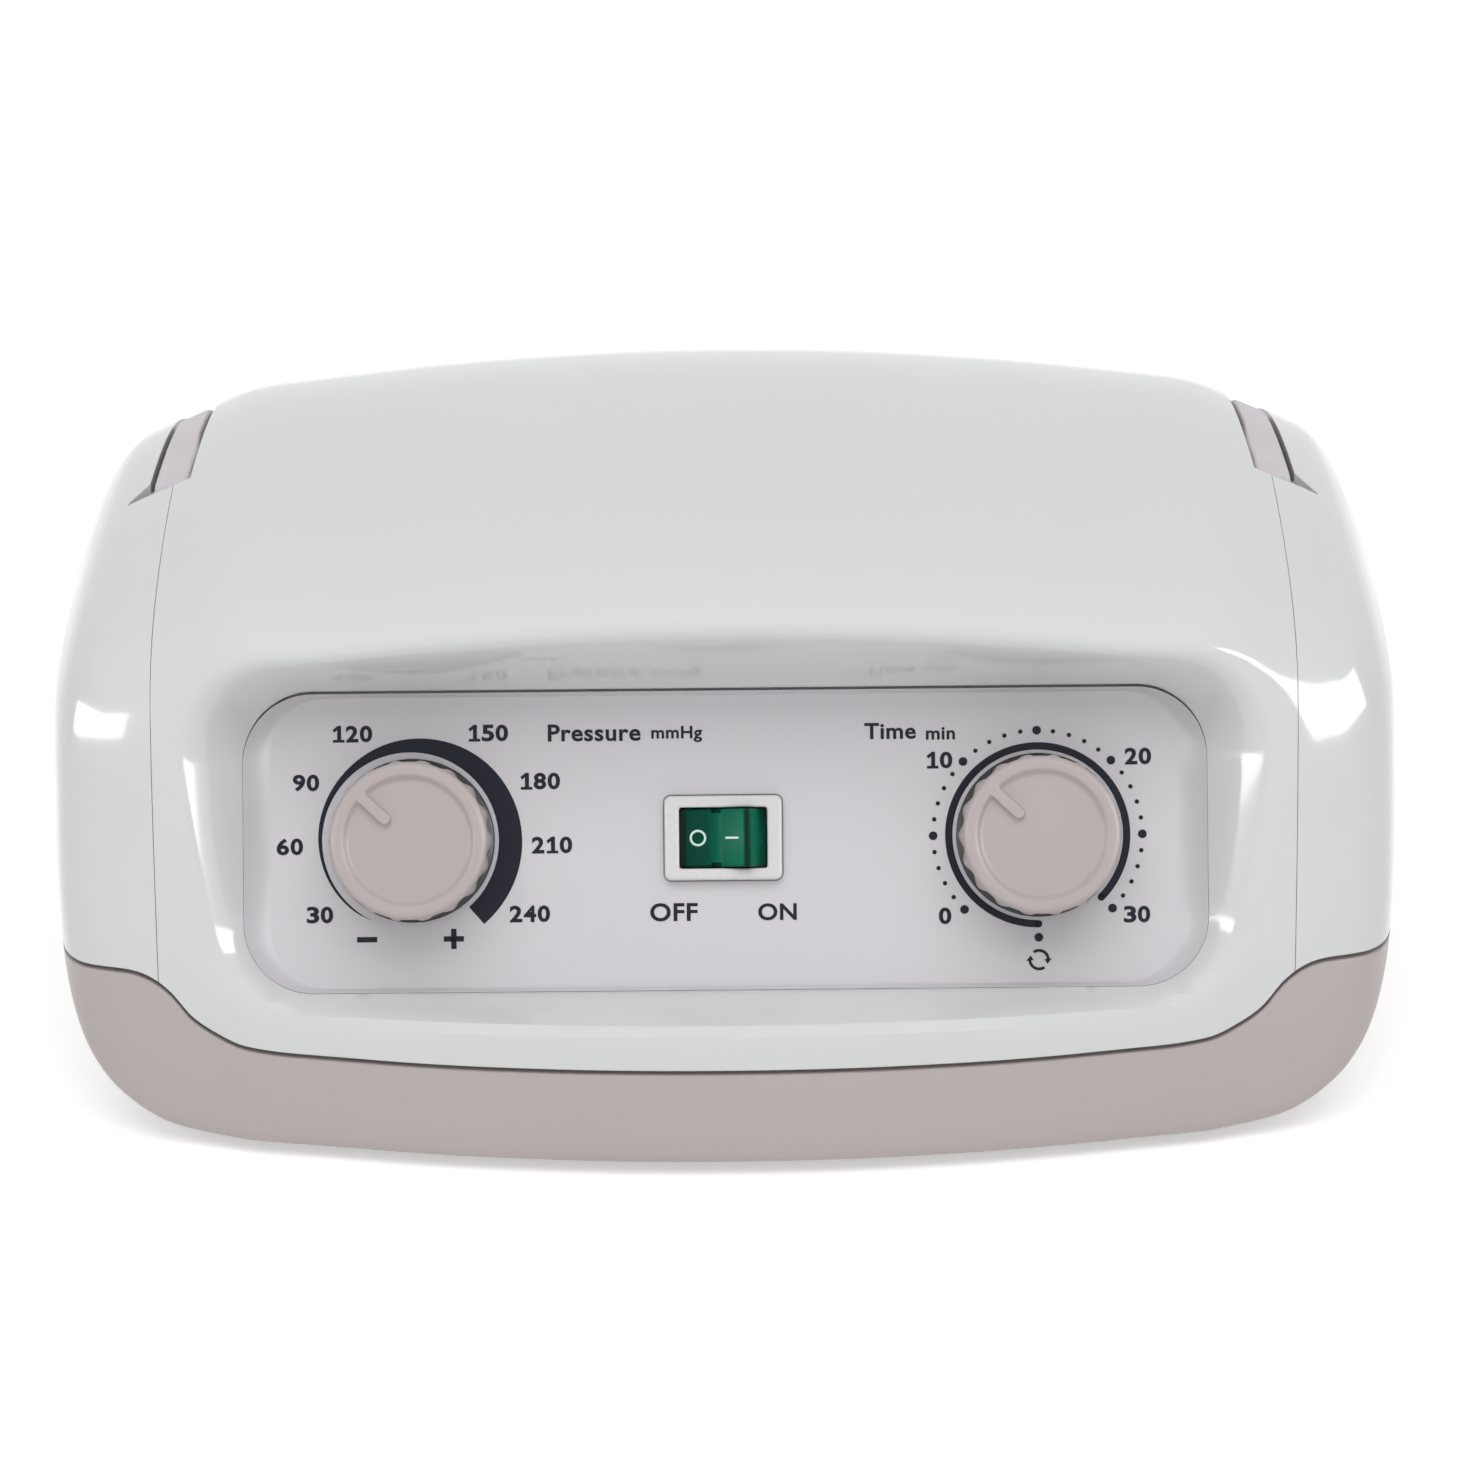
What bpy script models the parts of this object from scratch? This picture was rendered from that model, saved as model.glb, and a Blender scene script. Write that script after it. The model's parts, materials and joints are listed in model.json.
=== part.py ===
"""Compression therapy pump: a desk-top air pump with a bowed white case, a tilted control
panel with two knobs and a lit rocker switch, and a bail handle folded down round the dome.

Lengths are in metres. +Z is up, the panel faces -Y, and the origin is the middle of the
standing surface under the case.
"""
import math

import bmesh
import bpy
from mathutils import Matrix, Vector

# Overall size of the case
WIDTH = 0.2425
DEPTH = 0.190
HEIGHT = 0.116
FOOT_HEIGHT = 0.0023
WALL = 0.0024
SEAT = 0.0003            # gap between pieces that touch
SLACK = 0.0005           # running gap between pieces that move on each other
WELD_DISTANCE = 0.00001
SHARP_ANGLE = math.radians(35.0)
OVERRUN = 0.030          # how far a cutter reaches past what it cuts

BODY_HEIGHT = HEIGHT - FOOT_HEIGHT
FLOOR = FOOT_HEIGHT + WALL

# Outline of the case at the middle, front to back: shares of depth and of body height
PROFILE_SHARES = [
    (0.25, 0.0), (0.0, 0.0), (-0.25, 0.0), (-0.43, 0.0), (-0.488, 0.001), (-0.499, 0.006),
    (-0.500, 0.060), (-0.502, 0.150), (-0.497, 0.280), (-0.483, 0.420), (-0.466, 0.560),
    (-0.449, 0.680), (-0.432, 0.765), (-0.404, 0.836), (-0.350, 0.892), (-0.262, 0.942),
    (-0.130, 0.984), (0.020, 1.004), (0.135, 0.988), (0.240, 0.930), (0.330, 0.838),
    (0.405, 0.705), (0.455, 0.535), (0.485, 0.350), (0.500, 0.180), (0.498, 0.070),
    (0.470, 0.008), (0.40, 0.0)]
# Sections from the middle out: share of half width, then how far the section's top drops, its
# bottom rises, its front and its rear draw in, as shares of body height and of depth
SECTION_SHARES = [
    (0.0, 0.0, 0.0, 0.0, 0.0), (0.172, 0.003, 0.0, 0.0034, 0.0024), (0.344, 0.0125, 0.0, 0.0137, 0.0095),
    (0.459, 0.022, 0.0, 0.0244, 0.0170), (0.574, 0.0350, 0.0, 0.0384, 0.0263),
    (0.705, 0.0500, 0.0003, 0.0544, 0.0405), (0.746, 0.0590, 0.002, 0.0628, 0.0455),
    (0.787, 0.0768, 0.0065, 0.0696, 0.0504), (0.836, 0.1010, 0.019, 0.0768, 0.0572),
    (0.885, 0.1240, 0.0487, 0.0862, 0.0644), (0.926, 0.1500, 0.089, 0.0985, 0.0735),
    (0.959, 0.1960, 0.148, 0.1170, 0.0880), (0.982, 0.2480, 0.228, 0.1470, 0.1110),
    (0.996, 0.2920, 0.3106, 0.1950, 0.1457), (1.0, 0.3500, 0.3944, 0.2273, 0.1835)]
PROFILE_POINTS = 36      # points round one section
HEIGHT_POINTS = 112      # the same, where the surface's height is read

# Joint between the white covers and the base, seen from the front
SEAM_SHARES = [(0.0, 0.155), (0.62, 0.155), (0.705, 0.163), (0.745, 0.181), (0.785, 0.211),
               (0.815, 0.248), (0.845, 0.270), (0.880, 0.279), (0.960, 0.2745), (1.05, 0.2705)]
SEAM_GAP = 0.0008
SIDE_COVER_WIDTH = 0.02025
COVER_SPLIT = WIDTH / 2 - SIDE_COVER_WIDTH

# Control panel, in its own frame: X across, Y up the panel, Z out of it
PANEL_TILT = math.radians(24.0)
PANEL_SETBACK = 0.0258   # from the foremost line of the case to the panel's middle
PANEL_RISE_SHARE = 0.45998
PANEL_MARGIN = 0.0354
PANEL_Y = PANEL_SETBACK - DEPTH / 2
PANEL_Z = FOOT_HEIGHT + PANEL_RISE_SHARE * BODY_HEIGHT
PANEL_WIDTH = WIDTH - 2 * PANEL_MARGIN
PANEL_HEIGHT = 0.0534
PANEL_CORNER = 0.0125
TRAY_DEPTH = 0.0040
TRAY_WALL_RUN = 0.0034
TRAY_SHEET = 0.0020
TRAY_FLANGE = 0.0030
TRAY_LIP = 0.0006
# Inside wall of the tray, edge to floor: shares of its run and of its depth
TRAY_CURVE_SHARES = [(0.12, 0.28), (0.40, 0.66), (0.72, 0.92), (1.0, 1.0)]
SURROUND_SIDE_SLOPE = math.radians(42.0)
SURROUND_TOP_SLOPE = math.radians(19.0)
SURROUND_FOOT_SLOPE = math.radians(27.0)
SURROUND_REACH = 0.060

# Knobs and what they turn, in the panel's frame
KNOB_INSET = 0.03005      # from the panel's end to a knob's axis
KNOB_OFFSET = PANEL_WIDTH / 2 - KNOB_INSET
KNOB_RISE = 0.0004
KNOB_RADIUS = 0.0143
KNOB_SCALLOPS = 18
KNOB_SCALLOP_DEPTH = 0.0006
SCALLOP_STEPS = 3
KNOB_HEIGHT = 0.0105
KNOB_EDGE = 0.0008
# Rings over the rim's edge: shares of the edge in and down, and of the scallops' depth
KNOB_EDGE_SHARES = [(0.0, 2.0, 1.0), (0.5, 0.5, 0.5), (1.5, 0.0, 0.0)]
KNOB_RIM = 0.0026
KNOB_DISH = 0.0009
SKIRT_RADIUS = 0.0145
SKIRT_HEIGHT = 0.0024
POINTER_WIDTH = 0.0021
POINTER_INNER = 0.0053
POINTER_ANGLE = math.radians(137.0)
POINTER_STEPS = 6
SHAFT_RADIUS = 0.0030
SHAFT_TOP = 0.0060
SHAFT_REACH = 0.0090
BUSH_RADIUS = 0.0050
VALVE_RADIUS = 0.0120
VALVE_LENGTH = 0.0160
TIMER_SIDE = 0.0300
TIMER_LENGTH = 0.0170
TIMER_CORNER = 0.0020

# Rocker switch, in the panel's frame: the pivot lies under the middle of the window
SWITCH_X = -0.0004
SWITCH_Y = 0.0004
SWITCH_WIDTH = 0.0210
SWITCH_HEIGHT = 0.0151
SWITCH_FLANGE = 0.0018
SWITCH_EDGE = 0.0004
SWITCH_CORNER = 0.0012
WINDOW_WIDTH = 0.0157
WINDOW_HEIGHT = 0.0109
WINDOW_CORNER = 0.0006
SWITCH_WALL = 0.0014
SWITCH_BODY_DEPTH = 0.0125
ROCKER_ANGLE = math.radians(14.0)
ROCKER_PIVOT_DROP = 0.0055
ROCKER_END_HEIGHT = 0.0068
ROCKER_MIDDLE_HEIGHT = 0.0053
ROCKER_TOP_HALF = 0.0062
ROCKER_HALF = 0.0073
ROCKER_KEEL = 0.0020
ROCKER_PIN_RADIUS = 0.0010

# Carrying handle: arms in the shoulder grooves and a bar behind the dome
ARM_WIDTH = 0.0064
ARM_INSET = 0.01935      # from the case's side to an arm's middle
ARM_X = WIDTH / 2 - ARM_INSET
ARM_LEAN = 0.0030        # how far an arm leans in from its front end to the bar
ARM_CHAMFER = 0.0009
ARM_CHAMFER_SHARE = 0.33 # most of the handle's thickness that one chamfer takes
GROOVE_SETBACK = 0.0792
GROOVE_FRONT = GROOVE_SETBACK - DEPTH / 2
GROOVE_GAP = 0.0009
GROOVE_DROP = 0.0274      # from the top of the case to the grooves' floor
GROOVE_FLOOR = HEIGHT - GROOVE_DROP
GROOVE_WALL = 0.0022
BEND_ROOM = 0.0075       # how much wider the groove is where the handle bends into its bar
PIVOT_INSET = 0.0070
PIVOT_RISE = 0.0088
PIVOT_Y = GROOVE_FRONT + PIVOT_INSET
PIVOT_Z = GROOVE_FLOOR + PIVOT_RISE
PIVOT_RADIUS = 0.0020
ARM_END_RADIUS = 0.0058
SWING_RUN = 0.0085       # length of arm that stays low to clear the groove's front edge
ARM_FLUSH = 0.0290       # length of arm, from its pin, that is flush with the case
BAR_INSET = 0.0330       # from the rearmost line of the case to the bar's middle
BAR_Y = DEPTH / 2 - BAR_INSET
BAR_DEPTH = 0.0110
BAR_CORNER = 0.0170
BAR_DROP = 0.0182
BAR_TOP = HEIGHT - BAR_DROP
BAR_SAG = 0.0036
BAR_THICKNESS = 0.0050
LEDGE_ROOM = 0.0092
LEDGE_FRONT = BAR_Y - LEDGE_ROOM
HANDLE_PROUD = 0.0003
POCKET_LENGTH = 0.0060
POCKET_WIDTH = 0.0036
POCKET_DEPTH = 0.0060
# Rings round the arm's front end: shares of its radius ahead of the pin
END_SHARES = (0.985, 0.85, 0.55, 0.20)
ARM_STEPS = 7
BEND_STEPS = 5
BAR_STEPS = 5

# Feet and screws
FOOT_RADIUS = 0.0080
FOOT_EDGE = 0.0008
FOOT_SIDE_INSET = 0.04925
FOOT_END_INSET = 0.0350
FOOT_X = WIDTH / 2 - FOOT_SIDE_INSET
FOOT_Y = DEPTH / 2 - FOOT_END_INSET
FOOT_STUD_RADIUS = 0.0022
FOOT_STUD_LENGTH = 0.0045
SCREW_SIDE_INSET = 0.03325
SCREW_END_INSET = 0.0510
SCREW_X = WIDTH / 2 - SCREW_SIDE_INSET
SCREW_Y = DEPTH / 2 - SCREW_END_INSET
SCREW_RADIUS = 0.0015
SCREW_HEAD_RADIUS = 0.0030
SCREW_HEAD_HEIGHT = 0.0018
SCREW_LENGTH = 0.0280
BOSS_RADIUS = 0.0042
BOSS_HEIGHT = 0.0200
POST_SINK = 0.0006       # from the outer skin down to a post's upper end

# Rear panel, set back in the case, and what it carries
REAR_SETBACK = 0.0150
REAR_MARGIN = 0.03525
REAR_Y = DEPTH / 2 - REAR_SETBACK
REAR_HALF_WIDTH = WIDTH / 2 - REAR_MARGIN
REAR_LOW = 0.0262
REAR_HIGH = 0.0560
REAR_CORNER = 0.0060
REAR_THICKNESS = 0.0024
INLET_X = -0.0620
REAR_LINE_Z = 0.0400
INLET_WIDTH = 0.0240
INLET_HEIGHT = 0.0160
INLET_CORNER = 0.0040
INLET_FLANGE = 0.0030
INLET_FLANGE_THICKNESS = 0.0018
INLET_DEPTH = 0.0150
INLET_WALL = 0.0018
INLET_PIN_RADIUS = 0.0013
INLET_PIN_PITCH = 0.0087
INLET_PIN_LENGTH = 0.0085
FUSE_X = -0.0300
FUSE_RADIUS = 0.0060
FUSE_CAP_RADIUS = 0.0078
FUSE_CAP_THICKNESS = 0.0035
FUSE_LENGTH = 0.0240
FUSE_SLOT = 0.0016
PORT_COUNT = 4
PORT_X = 0.0200
PORT_PITCH = 0.0180
PORT_RADIUS = 0.0036
PORT_NECK_RADIUS = 0.0030
PORT_TIP_RADIUS = 0.0024
PORT_BARB_LENGTH = 0.0030
PORT_BARB_TAPER = 0.0024
PORT_BORE = 0.0022
PORT_LENGTH = 0.0105
PORT_COLLAR_RADIUS = 0.0062
PORT_COLLAR = 0.0020
PORT_TAIL = 0.0060

# Air pump on its rubber mounts
PUMP_X = -0.0360
PUMP_SETBACK = 0.0710     # from the rearmost line of the case
PUMP_Y = DEPTH / 2 - PUMP_SETBACK
PUMP_PLATE_WIDTH = 0.0880
PUMP_PLATE_DEPTH = 0.0560
PUMP_PLATE_THICKNESS = 0.0020
MOUNT_RADIUS = 0.0060
MOUNT_WAIST = 0.0045
MOUNT_HEIGHT = 0.0080
MOUNT_INSET = 0.0080
STATOR_WIDTH = 0.0300
STATOR_DEPTH = 0.0440
STATOR_HEIGHT = 0.0460
COIL_WALL = 0.0060
COIL_HEIGHT = 0.0110
COIL_DROP = 0.0020       # from the top of the stator down to the coil
SLIDE_THICKNESS = 0.0110
SLIDE_REACH = 0.0250
SLIDE_STROKE = 0.0015
HEAD_RADIUS = 0.0180
HEAD_THICKNESS = 0.0110
HEAD_FOOT = 0.0260
DIAPHRAGM_RADIUS = 0.0160
DIAPHRAGM_THICKNESS = 0.0020
NIPPLE_RADIUS = 0.0024
NIPPLE_LENGTH = 0.0070

# Air distributor
DISTRIBUTOR_SETBACK = 0.0590
DISTRIBUTOR_Y = DEPTH / 2 - DISTRIBUTOR_SETBACK
DISTRIBUTOR_WIDTH = 0.0680
DISTRIBUTOR_DEPTH = 0.0340
DISTRIBUTOR_HEIGHT = 0.0160
LID_THICKNESS = 0.0020
LID_NIPPLE_SPREAD = 0.0170
ROTOR_RADIUS = 0.0130
ROTOR_HEIGHT = 0.0080
ROTOR_SHAFT_RADIUS = 0.0020
ROTOR_SHAFT_REACH = 0.0060
MOTOR_RADIUS = 0.0160
HOSE_RADIUS = 0.0030
HOSE_SIDES_LEVEL = 2
HOSE_STRAIGHT = 0.0060   # how far a hose runs straight from each end
HOSE_PULL = 0.0200       # how strongly a hose keeps to its ends' directions
HOSE_STEPS = 9

# Circuit board
BOARD_X = 0.0250
BOARD_SETBACK = 0.0600    # from the foremost line of the case
BOARD_Y = BOARD_SETBACK - DEPTH / 2
BOARD_WIDTH = 0.0900
BOARD_DEPTH = 0.0460
BOARD_THICKNESS = 0.0016
BOARD_POST = 0.0080
BOARD_POST_RADIUS = 0.0030
BOARD_INSET = 0.0060
TRANSFORMER_X = 0.0060
TRANSFORMER_WIDTH = 0.0280
TRANSFORMER_DEPTH = 0.0240
TRANSFORMER_HEIGHT = 0.0180
CAPACITOR_COUNT = 2
CAPACITOR_X = 0.0360
CAPACITOR_PITCH = 0.0150
CAPACITOR_RADIUS = 0.0050
CAPACITOR_HEIGHT = 0.0120

# Sides of turned pieces
ROUND = 20
SMALL_ROUND = 12
FOOT_ROUND = 24
WIDE_ROUND = 40
CORNER_STEPS = 4

PARTS = "compression_therapy_pump"
CUTTERS = "cutters"


# Scene and materials

def clear_scene():
    """Removes what the file opened with and makes the two collections."""
    for item in list(bpy.data.objects):
        bpy.data.objects.remove(item, do_unlink=True)
    for name in (PARTS, CUTTERS):
        group = bpy.data.collections.new(name)
        bpy.context.scene.collection.children.link(group)


def finish(name, colour, roughness, metallic=0.0):
    """A plain material with the piece's own colour."""
    mat = bpy.data.materials.new(name)
    mat.use_nodes = True
    shader = mat.node_tree.nodes["Principled BSDF"]
    shader.inputs["Base Color"].default_value = (*colour, 1.0)
    shader.inputs["Roughness"].default_value = roughness
    shader.inputs["Metallic"].default_value = metallic
    mat.diffuse_color = (*colour, 1.0)
    return mat


COLOURS = {
    "white": ((0.67, 0.68, 0.67), 0.25, 0.0),
    "base": ((0.45, 0.39, 0.38), 0.40, 0.0),
    "panel": ((0.56, 0.56, 0.61), 0.55, 0.0),
    "strap": ((0.58, 0.53, 0.55), 0.40, 0.0),
    "knob": ((0.50, 0.45, 0.44), 0.45, 0.0),
    "black": ((0.03, 0.03, 0.035), 0.45, 0.0),
    "green": ((0.01, 0.28, 0.15), 0.15, 0.0),
    "frame": ((0.70, 0.70, 0.68), 0.35, 0.0),
    "rubber": ((0.04, 0.04, 0.04), 0.80, 0.0),
    "steel": ((0.60, 0.60, 0.60), 0.30, 1.0),
    "iron": ((0.35, 0.36, 0.38), 0.50, 0.8),
    "copper": ((0.60, 0.28, 0.14), 0.35, 0.9),
    "board": ((0.02, 0.22, 0.09), 0.50, 0.0),
    "hose": ((0.75, 0.77, 0.76), 0.40, 0.0),
    "yellow": ((0.70, 0.55, 0.08), 0.40, 0.0)}


def add_part(name, mesh, colour, at=Matrix()):
    """Puts a mesh in the part's collection under its node name, at its place, with its own material."""
    piece = bpy.data.objects.new(name, mesh)
    bpy.data.collections[PARTS].objects.link(piece)
    mesh.materials.clear()
    mesh.materials.append(finish(name + "_finish", *COLOURS[colour]))
    mesh.shade_smooth()
    mesh.set_sharp_from_angle(angle=SHARP_ANGLE)
    piece.matrix_world = at
    return piece


def add_cutter(name, mesh, at=Matrix()):
    """Puts a mesh in the cutters' collection, at its place, hidden from renders."""
    cutter = bpy.data.objects.new(name, mesh)
    bpy.data.collections[CUTTERS].objects.link(cutter)
    cutter.matrix_world = at
    cutter.hide_render = True
    cutter.display_type = "WIRE"
    return cutter


def boolean(piece, cutter, operation="DIFFERENCE", solver="EXACT"):
    """Adds one Boolean step to a piece."""
    step = piece.modifiers.new(cutter.name, "BOOLEAN")
    step.object = cutter
    step.operation = operation
    step.solver = solver


def cut_case(piece, cutter, operation="DIFFERENCE"):
    """A Boolean step on the case, whose long thin grooves the exact solver leaves open."""
    boolean(piece, cutter, operation, "MANIFOLD")


# Basic shapes

def mesh_from(name, build):
    """Runs a function on an empty bmesh and returns the mesh it made, faces pointing out."""
    shape = bmesh.new()
    build(shape)
    bmesh.ops.recalc_face_normals(shape, faces=shape.faces)
    mesh = bpy.data.meshes.new(name)
    shape.to_mesh(mesh)
    shape.free()
    return mesh


def box_part(name, low, high, colour):
    """A box piece between two corners, with its origin in its middle."""
    low, high = Vector(low), Vector(high)
    middle = (low + high) / 2
    return add_part(name, box_mesh(name, low - middle, high - middle), colour, Matrix.Translation(middle))


def box_mesh(name, low, high):
    """A box between two corners."""
    size = [b - a for a, b in zip(low, high)]
    middle = [(a + b) / 2 for a, b in zip(low, high)]

    def build(shape):
        place = Matrix.Translation(middle) @ Matrix.Diagonal((*size, 1.0))
        bmesh.ops.create_cube(shape, size=1.0, matrix=place)
    return mesh_from(name, build)


def loft_mesh(name, rings, closed=False):
    """A solid through rings of equal point count: capped, or closed on its first ring again."""
    def build(shape):
        rows = [[shape.verts.new(point) for point in ring] for ring in rings]
        count = len(rows[0])
        for low, high in zip(rows, rows[1:] + rows[:1] if closed else rows[1:]):
            for i in range(count):
                j = (i + 1) % count
                shape.faces.new((low[i], low[j], high[j], high[i]))
        if not closed:
            shape.faces.new(rows[0])
            shape.faces.new(rows[-1])
    return mesh_from(name, build)


def cylinder_mesh(name, radius, low, high, count=ROUND, x=0.0, y=0.0):
    """An upright cylinder between two heights."""
    def build(shape):
        middle = Matrix.Translation((x, y, (low + high) / 2))
        bmesh.ops.create_cone(shape, cap_ends=True, segments=count, radius1=radius, radius2=radius,
                              depth=high - low, matrix=middle)
    return mesh_from(name, build)


def cross_cylinder(name, radius, low, high, y, z, count=SMALL_ROUND):
    """A cylinder along X between two places."""
    mesh = cylinder_mesh(name, radius, low, high, count)
    return place(mesh, Matrix.Translation((0.0, y, z)) @ Matrix.Rotation(math.pi / 2, 4, "Y"))


def half_outline(name, profile, hollow=False):
    """A turned shape's outline at +X, top to bottom, from (radius, height) pairs, bottom to top.

    A solid's outline ends on the axis. A hollow one goes once round its section.
    """
    ends = [] if hollow else [(0.0, profile[-1][1])]
    points = ends + profile[::-1] + ([] if hollow else [(0.0, profile[0][1])])

    def build(shape):
        corners = [shape.verts.new((radius, 0.0, height)) for radius, height in points]
        for a, b in zip(corners, corners[1:] + (corners[:1] if hollow else [])):
            shape.edges.new((a, b))
    return mesh_from(name, build)


def turn(piece, count):
    """Sweeps an outline once round Z."""
    step = piece.modifiers.new("turn", "SCREW")
    step.axis = "Z"
    step.angle = math.tau
    step.steps = step.render_steps = count
    step.use_merge_vertices = True
    step.merge_threshold = WELD_DISTANCE
    return piece


def turned_part(name, profile, colour, at, count=ROUND, hollow=False):
    """A turned piece at its place."""
    return turn(add_part(name, half_outline(name, profile, hollow), colour, at), count)


def rounded_ring(half_x, half_y, corner, height, steps=CORNER_STEPS):
    """Points round a rectangle with round corners, at one height."""
    points = []
    for quarter, (sx, sy) in enumerate(((1, 1), (-1, 1), (-1, -1), (1, -1))):
        cx, cy = sx * (half_x - corner), sy * (half_y - corner)
        for i in range(steps + 1):
            angle = (quarter + i / steps) * math.pi / 2
            points.append((cx + corner * math.cos(angle), cy + corner * math.sin(angle), height))
    return points


def prism_mesh(name, outline, low, high, axis="Z"):
    """A flat outline carried from low to high along X, Y or Z."""
    order = {"X": (2, 0, 1), "Y": (0, 2, 1), "Z": (0, 1, 2)}[axis]
    rings = [[tuple((a, b, level)[k] for k in order) for a, b in outline] for level in (low, high)]
    return loft_mesh(name, rings)


def place(mesh, matrix):
    """Moves a mesh's points by a matrix."""
    mesh.transform(matrix)
    mesh.update()
    return mesh


def panel_matrix(x=0.0, y=0.0, z=0.0, turn=0.0):
    """From the panel's frame, at a point on it, to the part's frame."""
    base = Matrix.Translation((0.0, PANEL_Y, PANEL_Z)) @ Matrix.Rotation(math.pi / 2 - PANEL_TILT, 4, "X")
    return base @ Matrix.Translation((x, y, z)) @ Matrix.Rotation(turn, 4, "Z")


# The case as one swept form

def smooth_table(table, x):
    """Reads a table of (x, values...) rows along a smooth curve through its rows."""
    last = len(table) - 1
    i = max(k for k in range(last) if table[k][0] <= x or k == 0)
    rows = [table[max(0, min(last, k))] for k in (i - 1, i, i + 1, i + 2)]
    span = rows[2][0] - rows[1][0]
    t = min(1.0, max(0.0, (x - rows[1][0]) / span))
    values = []
    for k in range(1, len(table[0])):
        before = rows[2][0] - rows[0][0]
        after = rows[3][0] - rows[1][0]
        rise_in = (rows[2][k] - rows[0][k]) / before * span if i > 0 else 0.0
        rise_out = (rows[3][k] - rows[1][k]) / after * span
        a, b = rows[1][k], rows[2][k]
        values.append((2 * t**3 - 3 * t**2 + 1) * a + (t**3 - 2 * t**2 + t) * rise_in
                      + (-2 * t**3 + 3 * t**2) * b + (t**3 - t**2) * rise_out)
    return values


def spline_point(controls, u):
    """A point of a closed cubic B-spline, u from 0 to the number of control points."""
    count = len(controls)
    i, t = int(math.floor(u)), u - math.floor(u)
    blend = ((1 - t)**3 / 6, (3 * t**3 - 6 * t**2 + 4) / 6,
             (-3 * t**3 + 3 * t**2 + 3 * t + 1) / 6, t**3 / 6)
    picked = [controls[(i + k) % count] for k in range(4)]
    return tuple(sum(w * p[axis] for w, p in zip(blend, picked)) for axis in (0, 1))


def profile(count):
    """The middle section as (share of depth, share of body height), each filling 0 to 1."""
    steps = [spline_point(PROFILE_SHARES, len(PROFILE_SHARES) * i / count) for i in range(count)]
    low = [min(p[k] for p in steps) for k in (0, 1)]
    high = [max(p[k] for p in steps) for k in (0, 1)]
    return [tuple((p[k] - low[k]) / (high[k] - low[k]) for k in (0, 1)) for p in steps]


def section(x, points, inset=0.0):
    """One section of the case at a place across it, drawn in by a wall where one is given."""
    drop, rise, front, rear = smooth_table(SECTION_SHARES, min(1.0, abs(x) / (WIDTH / 2)))
    y_low, y_high = -DEPTH / 2 + front * DEPTH + inset, DEPTH / 2 - rear * DEPTH - inset
    z_low, z_high = FOOT_HEIGHT + rise * BODY_HEIGHT + inset, HEIGHT - drop * BODY_HEIGHT - inset
    return [(x, y_low + v * (y_high - y_low), z_low + w * (z_high - z_low)) for v, w in points]


def case_rings(inset=0.0):
    """Sections across the case, or across the room inside its wall."""
    points = profile(PROFILE_POINTS)
    shares = [row[0] for row in SECTION_SHARES]
    reach = WIDTH / 2 - inset
    places = [-s * reach for s in reversed(shares[1:])] + [s * reach for s in shares]
    return [section(x, points, inset) for x in places]


def seam_outline(shift, side):
    """The joint line across the case, then round its upper (+1) or lower (-1) side."""
    line = []
    for share, height in SEAM_SHARES:
        line.append((share * WIDTH / 2, FOOT_HEIGHT + height * BODY_HEIGHT + shift))
    whole = [(-x, z) for x, z in reversed(line[1:])] + line
    edge = line[-1][0]
    far = HEIGHT + OVERRUN if side > 0 else -OVERRUN
    return whole + [(edge, far), (-edge, far)]


def surround_rings(grow, low, high):
    """The flared surround of the panel: its outline at two depths out of the panel."""
    half_x, half_y = PANEL_WIDTH / 2 + grow, PANEL_HEIGHT / 2 + grow
    rings = []
    for depth in (low, high):
        out = max(0.0, depth)
        ring = rounded_ring(half_x, half_y, PANEL_CORNER + grow, depth)
        side = out * math.tan(SURROUND_SIDE_SLOPE)
        top = out * math.tan(SURROUND_TOP_SLOPE)
        foot = out * math.tan(SURROUND_FOOT_SLOPE)
        shifted = []
        for x, y, z in ring:
            up = max(-1.0, min(1.0, y / (half_y - PANEL_CORNER)))
            lift = top * max(0.0, up) if up > 0 else foot * up
            spread = side * max(-1.0, min(1.0, x / (half_x - PANEL_CORNER)))
            shifted.append((x + spread, y + lift, z))
        rings.append(shifted)
    return rings


def surround_mesh(name, grow, low):
    """A solid that fills the surround, out past the front of the case."""
    rings = surround_rings(grow, low, 0.0)[:1] + surround_rings(grow, 0.0, SURROUND_REACH)
    return place(loft_mesh(name, rings), panel_matrix())


def arm_line(y):
    """The middle of the right arm, leaning in towards the rear."""
    return ARM_X - ARM_LEAN * (y - GROOVE_FRONT) / (BAR_Y - GROOVE_FRONT)


def arm_strip(grow):
    """Corners of the right groove in plan, widened by an amount and opened out at the bend."""
    half = ARM_WIDTH / 2 + GROOVE_GAP + grow
    front, bend, rear = GROOVE_FRONT - grow, BAR_Y - BAR_CORNER, LEDGE_FRONT + GROOVE_WALL
    return [(arm_line(front) - half, front), (arm_line(front) + half, front),
            (arm_line(rear) + half, rear), (arm_line(rear) - half - BEND_ROOM, rear),
            (arm_line(bend) - half, bend)]


def pocket_strip(grow):
    """Corners of the wedge beside the right arm's front end, in plan."""
    inner = arm_line(GROOVE_FRONT) + ARM_WIDTH / 2 + GROOVE_GAP - GROOVE_WALL / 2
    front = GROOVE_FRONT - grow
    outer = inner + GROOVE_WALL / 2 + POCKET_WIDTH + grow
    rear = GROOVE_FRONT + POCKET_LENGTH + grow
    return [(inner, front), (outer, front), (outer, front + grow + SLACK), (inner, rear)]


def mirrored(outline):
    """The same outline on the other side of the middle plane."""
    return [(-x, y) for x, y in reversed(outline)]


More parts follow.
